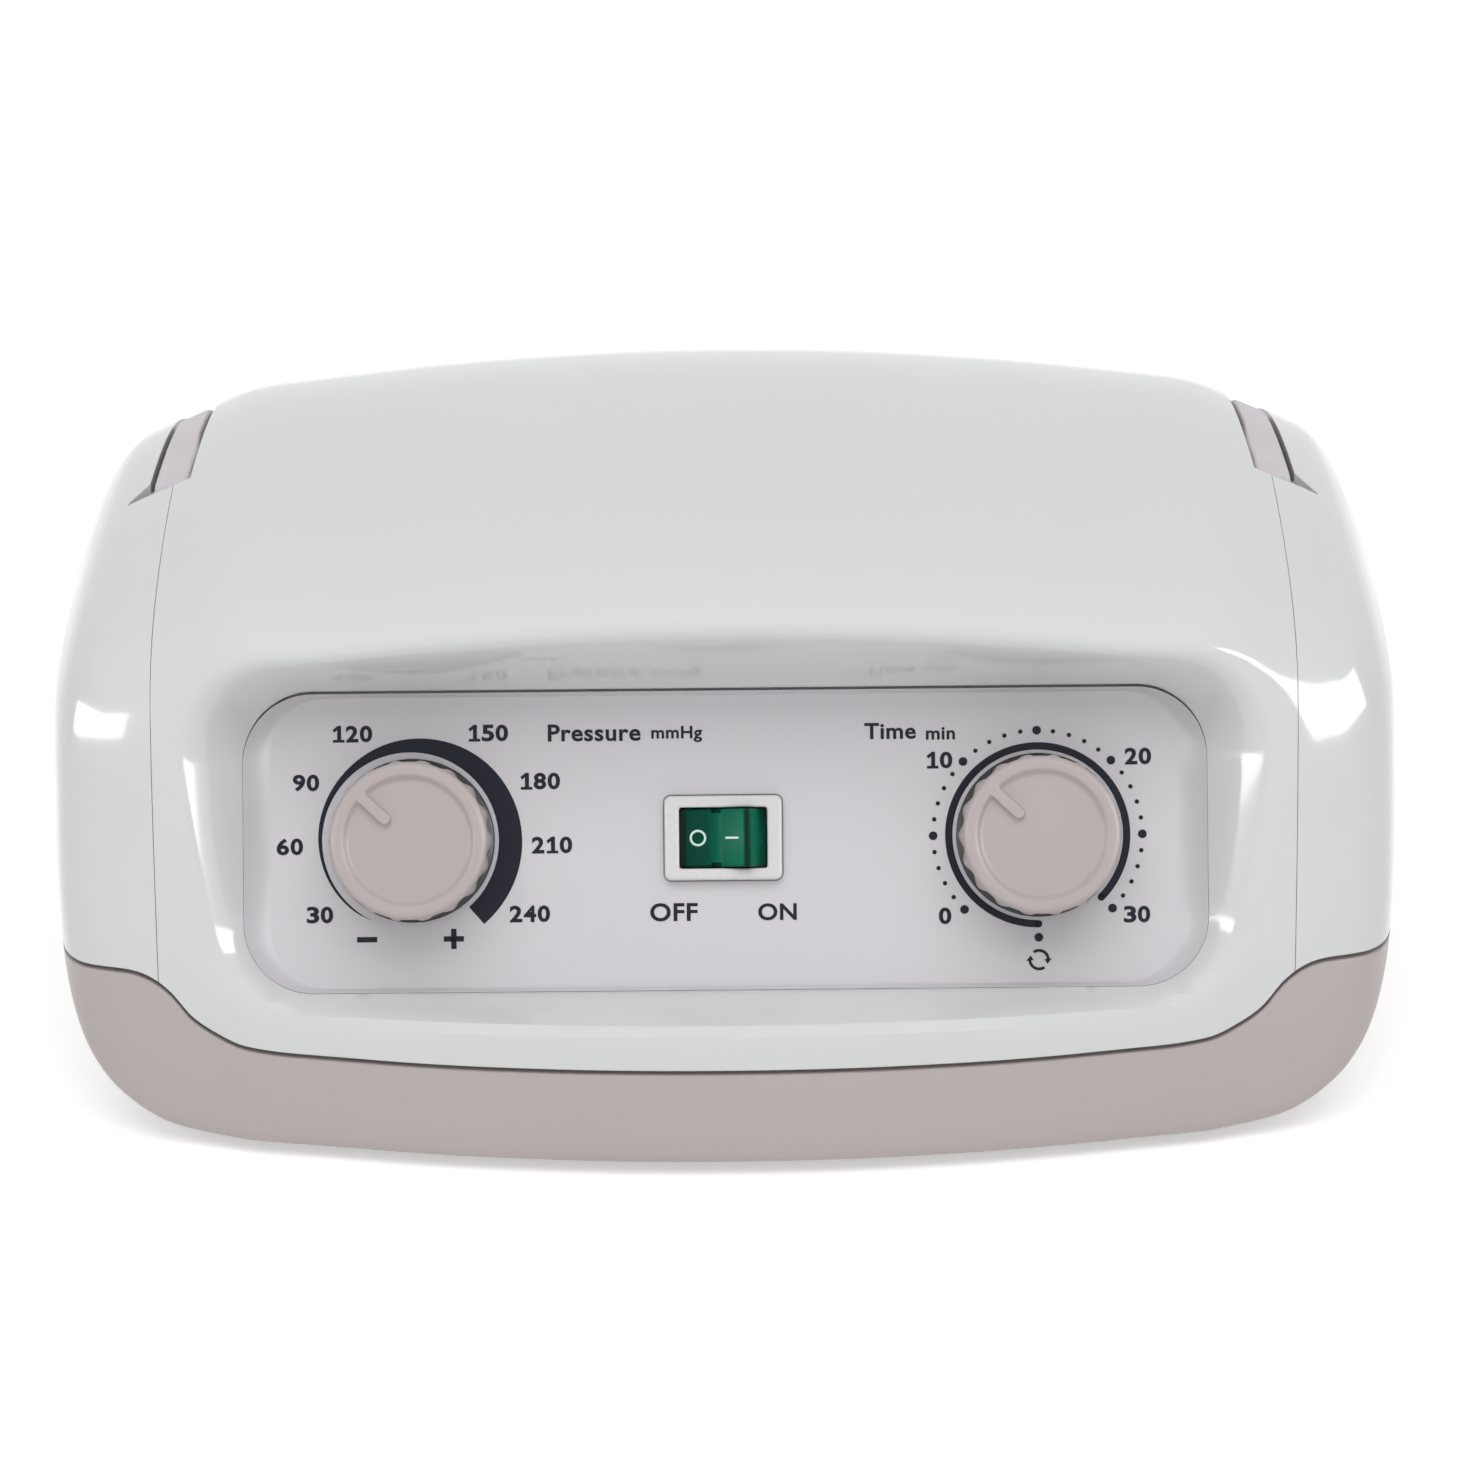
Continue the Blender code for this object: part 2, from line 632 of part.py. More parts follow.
def groove_meshes(name, grow):
    """Prisms that cut the arm grooves, their front pockets and the ledge behind the dome."""
    top = HEIGHT + OVERRUN
    edge = arm_line(LEDGE_FRONT) + ARM_WIDTH / 2 + GROOVE_GAP + grow
    ledge = ((-edge, LEDGE_FRONT - grow, GROOVE_FLOOR - grow), (edge, DEPTH / 2, top))
    meshes = [box_mesh(name + "_ledge", *ledge)]
    for label, strip, floor in (("arm", arm_strip(grow), GROOVE_FLOOR),
                                ("pocket", pocket_strip(grow), PIVOT_Z - POCKET_DEPTH / 2)):
        meshes.append(prism_mesh(name + "_right_" + label, strip, floor - grow, top))
        meshes.append(prism_mesh(name + "_left_" + label, mirrored(strip), floor - grow, top))
    return meshes


def rear_recess_mesh(name, grow, front):
    """The set-back place of the rear panel, open to the rear."""
    half_z = (REAR_HIGH - REAR_LOW) / 2
    ring = rounded_ring(REAR_HALF_WIDTH + grow, half_z + grow, REAR_CORNER + grow, 0.0)
    middle = REAR_LOW + half_z
    return loft_mesh(name, [[(x, y, z + middle) for x, z, _ in ring] for y in (front, DEPTH / 2 + OVERRUN)])


def screw_places():
    """The four screws that hold the centre cover to the base."""
    return [(sx * SCREW_X, sy * SCREW_Y) for sx in (-1, 1) for sy in (-1, 1)]


def foot_places():
    """The four feet, near the corners of the flat floor."""
    return [(sx * FOOT_X, sy * FOOT_Y) for sx in (-1, 1) for sy in (-1, 1)]


def board_posts():
    """The four posts under the circuit board."""
    reach_x, reach_y = BOARD_WIDTH / 2 - BOARD_INSET, BOARD_DEPTH / 2 - BOARD_INSET
    return [(BOARD_X + sx * reach_x, BOARD_Y + sy * reach_y) for sx in (-1, 1) for sy in (-1, 1)]


def surface_height(x, y):
    """Height of the case's top at a place in plan."""
    ring = section(x, profile(HEIGHT_POINTS))
    best = 0.0
    for a, b in zip(ring, ring[1:] + ring[:1]):
        low, high = sorted((a, b), key=lambda p: p[1])
        if low[1] <= y <= high[1] and high[1] > low[1]:
            t = (y - low[1]) / (high[1] - low[1])
            best = max(best, low[2] + t * (high[2] - low[2]))
    return best


def cavity_cutter(name):
    """The room inside the case, less the walls round the surround, grooves and rear recess."""
    hollow = add_cutter(name, loft_mesh(name, case_rings(WALL)))
    cut_case(hollow, add_cutter(name + "_surround", surround_mesh(name, WALL, -WALL)))
    for mesh in groove_meshes(name + "_groove", GROOVE_WALL):
        cut_case(hollow, add_cutter(mesh.name, mesh))
    cut_case(hollow, add_cutter(name + "_rear", rear_recess_mesh(name + "_rear", WALL, REAR_Y - WALL)))
    return hollow


def pin_holes():
    """Holes for both handle pins."""
    reach = ARM_WIDTH / 2 + GROOVE_GAP + GROOVE_WALL + SLACK
    middle = arm_line(PIVOT_Y)
    radius = PIVOT_RADIUS + SEAT
    right = cross_cylinder("pin_hole_right", radius, middle - reach, middle + reach, PIVOT_Y, PIVOT_Z)
    left = cross_cylinder("pin_hole_left", radius, -middle - reach, -middle + reach, PIVOT_Y, PIVOT_Z)
    return [add_cutter("pin_hole_right", right), add_cutter("pin_hole_left", left)]


def make_case(cavity, holes):
    """Centre cover, side covers and base tub, all cut from the same form."""
    case = loft_mesh("case", case_rings())
    far_y = DEPTH / 2 + OVERRUN
    far_x = WIDTH / 2 + OVERRUN
    top = HEIGHT + OVERRUN
    inner, outer = COVER_SPLIT - SEAT / 2, COVER_SPLIT + SEAT / 2
    upper = prism_mesh("upper", seam_outline(SEAM_GAP / 2, 1), -far_y, far_y, "Y")
    lower = prism_mesh("lower", seam_outline(-SEAM_GAP / 2, -1), -far_y, far_y, "Y")
    cuts = [add_cutter(mesh.name, mesh) for mesh in groove_meshes("groove", 0.0)] + holes
    regions = {"centre_cover": (-inner, inner), "left_side_cover": (-far_x, -outer),
               "right_side_cover": (outer, far_x)}
    pieces = {}
    for name, (left, right) in regions.items():
        piece = add_part(name, case.copy(), "white")
        cut_case(piece, add_cutter(name + "_band", upper.copy()), "INTERSECT")
        region = box_mesh(name + "_region", (left, -far_y, -OVERRUN), (right, far_y, top))
        cut_case(piece, add_cutter(region.name, region), "INTERSECT")
        cut_case(piece, cavity)
        pieces[name] = piece
    for piece in pieces.values():
        for cut in cuts:
            cut_case(piece, cut)
    tub = add_part("base_tub", case.copy(), "base")
    cut_case(tub, add_cutter("base_tub_band", lower), "INTERSECT")
    cut_case(tub, cavity)
    return pieces["centre_cover"], tub


def fit_cover(cover):
    """Cuts the panel opening and the rear recess, and adds the screw posts."""
    opening = surround_mesh("panel_opening", 0.0, -WALL - SLACK)
    cut_case(cover, add_cutter("panel_opening", opening))
    recess = rear_recess_mesh("rear_recess", 0.0, REAR_Y - WALL - SLACK)
    cut_case(cover, add_cutter("rear_recess", recess))
    bottom = FLOOR + BOSS_HEIGHT + SEAT
    for i, (x, y) in enumerate(screw_places()):
        top = surface_height(abs(x) + BOSS_RADIUS, y) - POST_SINK
        post = cylinder_mesh("cover_post_%d" % i, BOSS_RADIUS, bottom, top, SMALL_ROUND, x, y)
        cut_case(cover, add_cutter(post.name, post), "UNION")
        tip = FOOT_HEIGHT + SCREW_HEAD_HEIGHT + SCREW_LENGTH + SLACK
        pilot = cylinder_mesh("pilot_%d" % i, SCREW_RADIUS + SEAT, bottom - SEAT, tip, SMALL_ROUND, x, y)
        cut_case(cover, add_cutter(pilot.name, pilot))


def fit_tub(tub):
    """Adds screw bosses and board posts to the base, and cuts its screw and foot holes."""
    low = FOOT_HEIGHT + WALL / 2
    for i, (x, y) in enumerate(screw_places()):
        boss = cylinder_mesh("boss_%d" % i, BOSS_RADIUS, low, FLOOR + BOSS_HEIGHT, SMALL_ROUND, x, y)
        cut_case(tub, add_cutter(boss.name, boss), "UNION")
    for i, (x, y) in enumerate(board_posts()):
        name = "board_post_%d" % i
        post = cylinder_mesh(name, BOARD_POST_RADIUS, low, FLOOR + BOARD_POST, SMALL_ROUND, x, y)
        cut_case(tub, add_cutter(post.name, post), "UNION")
    for i, (x, y) in enumerate(screw_places()):
        head, shank, step = SCREW_HEAD_RADIUS + SEAT, SCREW_RADIUS + SEAT, FOOT_HEIGHT + SCREW_HEAD_HEIGHT
        rings = [(head, -OVERRUN), (head, step), (shank, step), (shank, HEIGHT)]
        name = "screw_hole_%d" % i
        hole = add_cutter(name, half_outline(name, rings), Matrix.Translation((x, y, 0.0)))
        cut_case(tub, turn(hole, SMALL_ROUND))
    for i, (x, y) in enumerate(foot_places()):
        hole = cylinder_mesh("foot_hole_%d" % i, FOOT_STUD_RADIUS + SEAT, -OVERRUN, FLOOR + SLACK,
                             SMALL_ROUND, x, y)
        cut_case(tub, add_cutter(hole.name, hole))


def make_feet_and_screws():
    """Rubber feet on studs, and the screws that come up through the base."""
    under = FOOT_HEIGHT - SEAT
    foot = [(FOOT_RADIUS - FOOT_EDGE, 0.0), (FOOT_RADIUS, FOOT_EDGE), (FOOT_RADIUS, under),
            (FOOT_STUD_RADIUS, under), (FOOT_STUD_RADIUS, FOOT_HEIGHT + FOOT_STUD_LENGTH)]
    head = FOOT_HEIGHT + SCREW_HEAD_HEIGHT - SEAT
    screw = [(SCREW_HEAD_RADIUS, FOOT_HEIGHT), (SCREW_HEAD_RADIUS, head), (SCREW_RADIUS, head),
             (SCREW_RADIUS, head + SCREW_LENGTH)]
    labels = ("front_left", "rear_left", "front_right", "rear_right")
    for label, spot in zip(labels, foot_places()):
        turned_part("foot_" + label, foot, "rubber", Matrix.Translation((*spot, 0.0)), FOOT_ROUND)
    for label, spot in zip(labels, screw_places()):
        turned_part("case_screw_" + label, screw, "steel", Matrix.Translation((*spot, 0.0)), SMALL_ROUND)


# Control panel

TRAY_FLOOR = -TRAY_DEPTH
TRAY_BACK = -TRAY_DEPTH - TRAY_SHEET


def make_panel():
    """The dished panel behind the surround, with holes for the bushes and the switch."""
    def ring(grow, height):
        return rounded_ring(PANEL_WIDTH / 2 + grow, PANEL_HEIGHT / 2 + grow, PANEL_CORNER + grow, height)
    flange = -WALL - SEAT
    lip = -SEAT - TRAY_LIP
    rings = [ring(TRAY_FLANGE, TRAY_BACK), ring(TRAY_FLANGE, flange), ring(-SEAT, flange), ring(-SEAT, 0.0),
             ring(lip, 0.0)]
    for share_in, share_down in TRAY_CURVE_SHARES:
        rings.append(ring(lip - (TRAY_WALL_RUN - TRAY_LIP) * share_in, -TRAY_DEPTH * share_down))
    panel = add_part("control_panel", loft_mesh("control_panel", rings), "panel", panel_matrix())
    for label, side in (("pressure", -1), ("timer", 1)):
        hole = cylinder_mesh("bush_hole", BUSH_RADIUS + SEAT, TRAY_BACK - SLACK, SLACK)
        boolean(panel, add_cutter(label + "_bush_hole", hole, panel_matrix(side * KNOB_OFFSET, KNOB_RISE)))
    half_x, half_y = switch_body_half()
    low, high = (-half_x - SEAT, -half_y - SEAT, TRAY_BACK - SLACK), (half_x + SEAT, half_y + SEAT, SLACK)
    hole = box_mesh("switch_hole", low, high)
    boolean(panel, add_cutter("switch_hole", hole, panel_matrix(SWITCH_X, SWITCH_Y)))


def scalloped(radius, height, depth):
    """Points round a knob's rim, with shallow hollows between its grips."""
    count = KNOB_SCALLOPS * SCALLOP_STEPS
    points = []
    for i in range(count):
        angle = math.tau * i / count
        r = radius - depth * (1 - math.cos(KNOB_SCALLOPS * angle)) / 2
        points.append((r * math.cos(angle), r * math.sin(angle), height))
    return points


def knob_levels():
    """Heights of the skirt's foot, the knob's foot and the knob's rim above the panel's edge."""
    foot = TRAY_FLOOR + SEAT
    return foot, foot + SKIRT_HEIGHT + SEAT, foot + KNOB_HEIGHT + TRAY_DEPTH


def make_knob(label, side):
    """A scalloped knob with its dished face and pointer, on a black skirt and a steel shaft."""
    foot, low, top = knob_levels()
    dish = top - KNOB_DISH
    inner = KNOB_RADIUS - KNOB_RIM
    rings = [scalloped(KNOB_RADIUS, low, KNOB_SCALLOP_DEPTH)]
    for share_in, share_down, share in KNOB_EDGE_SHARES:
        rings.append(scalloped(KNOB_RADIUS - KNOB_EDGE * share_in, top - KNOB_EDGE * share_down,
                               KNOB_SCALLOP_DEPTH * share))
    rings += [scalloped(inner, top, 0.0), scalloped(inner - KNOB_DISH, dish, 0.0)]
    there = panel_matrix(side * KNOB_OFFSET, KNOB_RISE)
    knob = add_part(label + "_knob", loft_mesh(label + "_knob", rings), "knob", there)
    half = POINTER_WIDTH / 2
    reach = (inner + KNOB_RADIUS) / 2
    outline = [(reach, -half), (reach, half)]
    outline += [(POINTER_INNER + half - half * math.sin(a), half * math.cos(a))
                for a in (math.pi * k / POINTER_STEPS for k in range(POINTER_STEPS + 1))]
    pointer = prism_mesh(label + "_pointer", outline, dish - KNOB_DISH, top)
    pointer = add_cutter(label + "_pointer", pointer, there @ Matrix.Rotation(POINTER_ANGLE, 4, "Z"))
    boolean(knob, pointer, "UNION")
    socket = cylinder_mesh("socket", SHAFT_RADIUS + SEAT, low - SLACK, SHAFT_TOP + SEAT)
    boolean(knob, add_cutter(label + "_knob_socket", socket, there))
    hole = SHAFT_RADIUS + SEAT
    brim = foot + SKIRT_HEIGHT
    skirt = [(hole, foot), (SKIRT_RADIUS, foot), (SKIRT_RADIUS, brim), (hole, brim)]
    turned_part(label + "_knob_skirt", skirt, "black", there, WIDE_ROUND, hollow=True)
    shaft = cylinder_mesh("shaft", SHAFT_RADIUS, TRAY_BACK - SHAFT_REACH, SHAFT_TOP)
    add_part(label + "_shaft", shaft, "steel", there)


def bush_rings(body_top):
    """The neck round a shaft and the blind bore down it, above a body's front face."""
    bore = SHAFT_RADIUS + SLACK
    return [(BUSH_RADIUS, body_top), (BUSH_RADIUS, TRAY_FLOOR), (bore, TRAY_FLOOR),
            (bore, TRAY_BACK - SHAFT_REACH - SEAT)]


def make_pressure_valve():
    """The turned valve body behind the pressure knob, with its hose nipple."""
    front = TRAY_BACK - SEAT
    back = front - VALVE_LENGTH
    rings = [(NIPPLE_RADIUS, back - NIPPLE_LENGTH), (NIPPLE_RADIUS, back), (VALVE_RADIUS, back),
             (VALVE_RADIUS, front)] + bush_rings(front)
    turned_part("pressure_valve", rings, "yellow", panel_matrix(-KNOB_OFFSET, KNOB_RISE))


def make_timer_body():
    """The boxy clockwork behind the timer knob."""
    front = TRAY_BACK - SEAT
    there = panel_matrix(KNOB_OFFSET, KNOB_RISE)
    half = TIMER_SIDE / 2
    rings = [rounded_ring(half, half, TIMER_CORNER, level) for level in (front - TIMER_LENGTH, front)]
    body = add_part("timer_body", loft_mesh("timer_body", rings), "frame", there)
    neck = cylinder_mesh("neck", BUSH_RADIUS, front - SLACK, TRAY_FLOOR)
    boolean(body, add_cutter("timer_neck", neck, there), "UNION")
    hole = cylinder_mesh("bore", SHAFT_RADIUS + SLACK, TRAY_BACK - SHAFT_REACH - SEAT, SLACK)
    boolean(body, add_cutter("timer_bore", hole, there))


# Rocker switch

def switch_body_half():
    """Half the width and height of the switch's body."""
    return WINDOW_WIDTH / 2 + SWITCH_WALL, WINDOW_HEIGHT / 2 + SWITCH_WALL


def switch_levels():
    """Heights of the flange's foot and front, the rocker's pivot and the body's back."""
    foot = TRAY_FLOOR + SEAT
    front = foot + SWITCH_FLANGE
    return foot, front, front - ROCKER_PIVOT_DROP, foot - SWITCH_BODY_DEPTH


def make_switch():
    """The snap-in frame with its window, and the rocker on two trunnions inside it."""
    foot, front, pivot, back = switch_levels()
    there = panel_matrix(SWITCH_X, SWITCH_Y)
    half_x, half_y = switch_body_half()
    wide, high = SWITCH_WIDTH / 2, SWITCH_HEIGHT / 2
    rings = [rounded_ring(half_x, half_y, SWITCH_EDGE, level) for level in (back, foot)]
    rings += [rounded_ring(wide, high, SWITCH_CORNER, level) for level in (foot, front - SWITCH_EDGE)]
    rings.append(rounded_ring(wide - SWITCH_EDGE, high - SWITCH_EDGE, SWITCH_CORNER, front))
    frame = add_part("switch_frame", loft_mesh("switch_frame", rings), "frame", there)
    window = [rounded_ring(WINDOW_WIDTH / 2, WINDOW_HEIGHT / 2, WINDOW_CORNER, level)
              for level in (back + SWITCH_WALL, front + SLACK)]
    boolean(frame, add_cutter("switch_window", loft_mesh("window", window), there))
    upright = Matrix.Rotation(-math.pi / 2, 4, "X")
    at_pivot = there @ Matrix.Translation((0.0, 0.0, pivot))
    reach = half_y + SLACK
    hole = cylinder_mesh("trunnion_hole", ROCKER_PIN_RADIUS + SEAT, -reach, reach, SMALL_ROUND)
    boolean(frame, add_cutter("trunnion_hole", hole, at_pivot @ upright))
    rocker_half = WINDOW_HEIGHT / 2 - SEAT
    outline = [(-ROCKER_HALF, -ROCKER_KEEL), (ROCKER_HALF, -ROCKER_KEEL),
               (ROCKER_TOP_HALF, ROCKER_END_HEIGHT), (0.0, ROCKER_MIDDLE_HEIGHT),
               (-ROCKER_TOP_HALF, ROCKER_END_HEIGHT)]
    body = loft_mesh("rocker", [[(x, y, z) for x, z in outline] for y in (-rocker_half, rocker_half)])
    off = at_pivot @ Matrix.Rotation(-ROCKER_ANGLE, 4, "Y")
    rocker = add_part("switch_rocker", body, "green", off)
    trunnion = cylinder_mesh("trunnion", ROCKER_PIN_RADIUS, -half_y + SEAT, half_y - SEAT, SMALL_ROUND)
    boolean(rocker, add_cutter("trunnion", trunnion, at_pivot @ upright), "UNION")


# Carrying handle

def handle_stations():
    """Places along the handle from the right arm's front end to the middle of the bar."""
    stations = []
    for share in END_SHARES:
        y = PIVOT_Y - ARM_END_RADIUS * share
        stations.append((Vector((arm_line(y), y)), Vector((0.0, 1.0))))
    bend = Vector((arm_line(BAR_Y) - BAR_CORNER, BAR_Y - BAR_CORNER))
    for k in range(ARM_STEPS):
        y = PIVOT_Y + (bend.y - PIVOT_Y) * k / ARM_STEPS
        stations.append((Vector((arm_line(y), y)), Vector((0.0, 1.0))))
    for k in range(BEND_STEPS + 1):
        angle = math.pi / 2 * k / BEND_STEPS
        out = Vector((math.cos(angle), math.sin(angle)))
        stations.append((bend + out * BAR_CORNER, Vector((-out.y, out.x))))
    for k in range(1, BAR_STEPS + 1):
        stations.append((Vector((bend.x * (1 - k / BAR_STEPS), BAR_Y)), Vector((-1.0, 0.0))))
    return stations


def bar_height(x):
    """Top of the bar, a flat arch across the case."""
    return BAR_TOP - BAR_SAG * (x / ARM_X) ** 2


def handle_ring(spot, along):
    """One section of the handle, with small chamfers, square to its run in plan."""
    across = Vector((along.y, -along.x))
    turned = 1.0 - abs(along.y)
    half = (ARM_WIDTH + (BAR_DEPTH - ARM_WIDTH) * turned) / 2
    flush = PIVOT_Y + ARM_FLUSH
    blend = min(1.0, max(0.0, (spot.y - flush) / (BAR_Y - BAR_CORNER - flush)))
    rise = 3 * blend ** 2 - 2 * blend ** 3 if turned == 0.0 else 1.0
    cap = ARM_END_RADIUS
    if spot.y < PIVOT_Y:
        cap = math.sqrt(ARM_END_RADIUS ** 2 - (spot.y - PIVOT_Y) ** 2)
    tops = []
    for side in (1.0, -1.0):
        edge = spot + across * half * side
        arm_top = surface_height(min(edge.x, WIDTH / 2), edge.y) + HANDLE_PROUD
        if spot.y < PIVOT_Y + SWING_RUN:
            arm_top = min(arm_top, PIVOT_Z + PIVOT_INSET - SLACK)
        if spot.y < PIVOT_Y:
            arm_top = min(arm_top, PIVOT_Z + cap)
        tops.append(arm_top + (bar_height(edge.x) - arm_top) * rise)
    bottom = GROOVE_FLOOR + SLACK + rise * (bar_height(spot.x) - BAR_THICKNESS - GROOVE_FLOOR - SLACK)
    if spot.y < PIVOT_Y:
        bottom = max(bottom, PIVOT_Z - (PIVOT_RISE - SLACK) * cap / ARM_END_RADIUS)
    chamfer = min(ARM_CHAMFER, (min(tops) - bottom) * ARM_CHAMFER_SHARE)
    right, left = spot + across * half, spot - across * half
    right_in, left_in = spot + across * (half - chamfer), spot - across * (half - chamfer)
    return [(*right, tops[0] - chamfer), (*right_in, tops[0]),
            (*left_in, tops[1]), (*left, tops[1] - chamfer),
            (*left, bottom + chamfer), (*left_in, bottom),
            (*right_in, bottom), (*right, bottom + chamfer)]


def make_handle(holes):
    """The bail from one arm's front end round to the other's, and its two pivot pins."""
    half = [handle_ring(spot, along) for spot, along in handle_stations()]
    other = [[(-x, y, z) for x, y, z in ring] for ring in reversed(half[:-1])]
    pivot = Matrix.Translation((0.0, PIVOT_Y, PIVOT_Z))
    bail = place(loft_mesh("carry_handle", half + other), pivot.inverted())
    handle = add_part("carry_handle", bail, "strap", pivot)
    for label, side in (("right", 1), ("left", -1)):
        middle = side * arm_line(PIVOT_Y)
        reach = ARM_WIDTH / 2 + GROOVE_GAP + GROOVE_WALL - SEAT
        mesh = cross_cylinder("pin", PIVOT_RADIUS, middle - reach, middle + reach, PIVOT_Y, PIVOT_Z)
        add_part("handle_pin_" + label, mesh, "steel")
    for hole in holes:
        boolean(handle, hole)


# Rear panel

def facing_rear(x, z=REAR_LINE_Z):
    """From a frame whose Z looks out of the rear panel to the part's frame."""
    return Matrix.Translation((x, REAR_Y, z)) @ Matrix.Rotation(-math.pi / 2, 4, "X")


def port_places():
    """Where the air outlets stand on the rear panel."""
    return [PORT_X + PORT_PITCH * k for k in range(PORT_COUNT)]


def make_rear_panel():
    """The flat plate in the rear recess, cut for the inlet, the fuse and the outlets."""
    half_z = (REAR_HIGH - REAR_LOW) / 2
    middle = REAR_LOW + half_z
    rings = [rounded_ring(REAR_HALF_WIDTH - SEAT, half_z - SEAT, REAR_CORNER - SEAT, level)
             for level in (-REAR_THICKNESS, 0.0)]
    plate = add_part("rear_panel", loft_mesh("rear_panel", rings), "base", facing_rear(0.0, middle))
    through = (-REAR_THICKNESS - SLACK, SLACK)
    inlet = [rounded_ring(INLET_WIDTH / 2 + SEAT, INLET_HEIGHT / 2 + SEAT, INLET_CORNER, z) for z in through]
    boolean(plate, add_cutter("inlet_hole", loft_mesh("inlet_hole", inlet), facing_rear(INLET_X)))
    round_holes = [("fuse_hole", FUSE_X, FUSE_RADIUS)]
    round_holes += [("port_hole_%d" % k, x, PORT_RADIUS) for k, x in enumerate(port_places())]
    for name, x, radius in round_holes:
        boolean(plate, add_cutter(name, cylinder_mesh(name, radius + SEAT, *through), facing_rear(x)))


def make_inlet():
    """The mains inlet: a flanged socket with two contact pins."""
    there = facing_rear(INLET_X)
    half_x, half_y = INLET_WIDTH / 2, INLET_HEIGHT / 2
    front = SEAT + INLET_FLANGE_THICKNESS
    wide, high = half_x + INLET_FLANGE, half_y + INLET_FLANGE
    rings = [rounded_ring(half_x, half_y, INLET_CORNER, level) for level in (-INLET_DEPTH, SEAT)]
    rings += [rounded_ring(wide, high, INLET_CORNER, level) for level in (SEAT, front)]
    socket = add_part("mains_inlet", loft_mesh("mains_inlet", rings), "black", there)
    floor = -INLET_DEPTH + INLET_WALL
    hollow = [rounded_ring(half_x - INLET_WALL, half_y - INLET_WALL, INLET_CORNER - INLET_WALL, z)
              for z in (floor, front + SLACK)]
    boolean(socket, add_cutter("inlet_hollow", loft_mesh("inlet_hollow", hollow), there))
    for k, side in enumerate((-1, 1)):
        pin = cylinder_mesh("pin", INLET_PIN_RADIUS, floor - INLET_WALL / 2, floor + INLET_PIN_LENGTH,
                            SMALL_ROUND, side * INLET_PIN_PITCH / 2)
        boolean(socket, add_cutter("inlet_pin_%d" % k, pin, there), "UNION")


def make_fuse_holder():
    """The screw-capped fuse holder, with a coin slot across its cap."""
    there = facing_rear(FUSE_X)
    front = SEAT + FUSE_CAP_THICKNESS
    rings = [(FUSE_RADIUS, -FUSE_LENGTH), (FUSE_RADIUS, SEAT),
             (FUSE_CAP_RADIUS, SEAT), (FUSE_CAP_RADIUS, front)]
    holder = turned_part("fuse_holder", rings, "black", there)
    slot = ((-FUSE_RADIUS, -FUSE_SLOT / 2, front - FUSE_SLOT), (FUSE_RADIUS, FUSE_SLOT / 2, front + SLACK))
    boolean(holder, add_cutter("fuse_slot", box_mesh("fuse_slot", *slot), there))


def make_ports():
    """Air outlets: barbed tubes with a collar on the panel's outer face."""
    collar = SEAT + PORT_COLLAR
    rings = [(PORT_BORE, -REAR_THICKNESS - PORT_TAIL), (PORT_RADIUS, -REAR_THICKNESS - PORT_TAIL),
             (PORT_RADIUS, SEAT), (PORT_COLLAR_RADIUS, SEAT), (PORT_COLLAR_RADIUS, collar),
             (PORT_NECK_RADIUS, collar), (PORT_NECK_RADIUS, PORT_LENGTH - PORT_BARB_LENGTH),
             (PORT_RADIUS, PORT_LENGTH - PORT_BARB_TAPER), (PORT_TIP_RADIUS, PORT_LENGTH),
             (PORT_BORE, PORT_LENGTH)]
    for k, x in enumerate(port_places()):
        turned_part("air_outlet_%d" % (k + 1), rings, "frame", facing_rear(x), SMALL_ROUND, hollow=True)


# Air pump

MOUNT_TOP = FLOOR + SEAT + MOUNT_HEIGHT
PLATE_LOW = MOUNT_TOP + SEAT
PLATE_TOP = PLATE_LOW + PUMP_PLATE_THICKNESS
STATOR_LOW = PLATE_TOP + SEAT
SLIDE_Z = STATOR_LOW + STATOR_HEIGHT / 2
DIAPHRAGM_AT = SLIDE_REACH + SLIDE_STROKE + SEAT
HEAD_AT = DIAPHRAGM_AT + DIAPHRAGM_THICKNESS + SEAT


def make_pump_stand():
    """The steel plate on four rubber mounts."""
    half_x, half_y = PUMP_PLATE_WIDTH / 2, PUMP_PLATE_DEPTH / 2
    low, high = (PUMP_X - half_x, PUMP_Y - half_y, PLATE_LOW), (PUMP_X + half_x, PUMP_Y + half_y, PLATE_TOP)
    box_part("pump_plate", low, high, "steel")
    waist = (FLOOR + SEAT + MOUNT_TOP) / 2
    rings = [(MOUNT_RADIUS, FLOOR + SEAT), (MOUNT_WAIST, waist), (MOUNT_RADIUS, MOUNT_TOP)]
    labels = ("front_left", "rear_left", "front_right", "rear_right")
    corners = [(sx, sy) for sx in (-1, 1) for sy in (-1, 1)]
    for label, (sx, sy) in zip(labels, corners):
        spot = (PUMP_X + sx * (half_x - MOUNT_INSET), PUMP_Y + sy * (half_y - MOUNT_INSET), 0.0)
        turned_part("pump_mount_" + label, rings, "rubber", Matrix.Translation(spot), SMALL_ROUND)


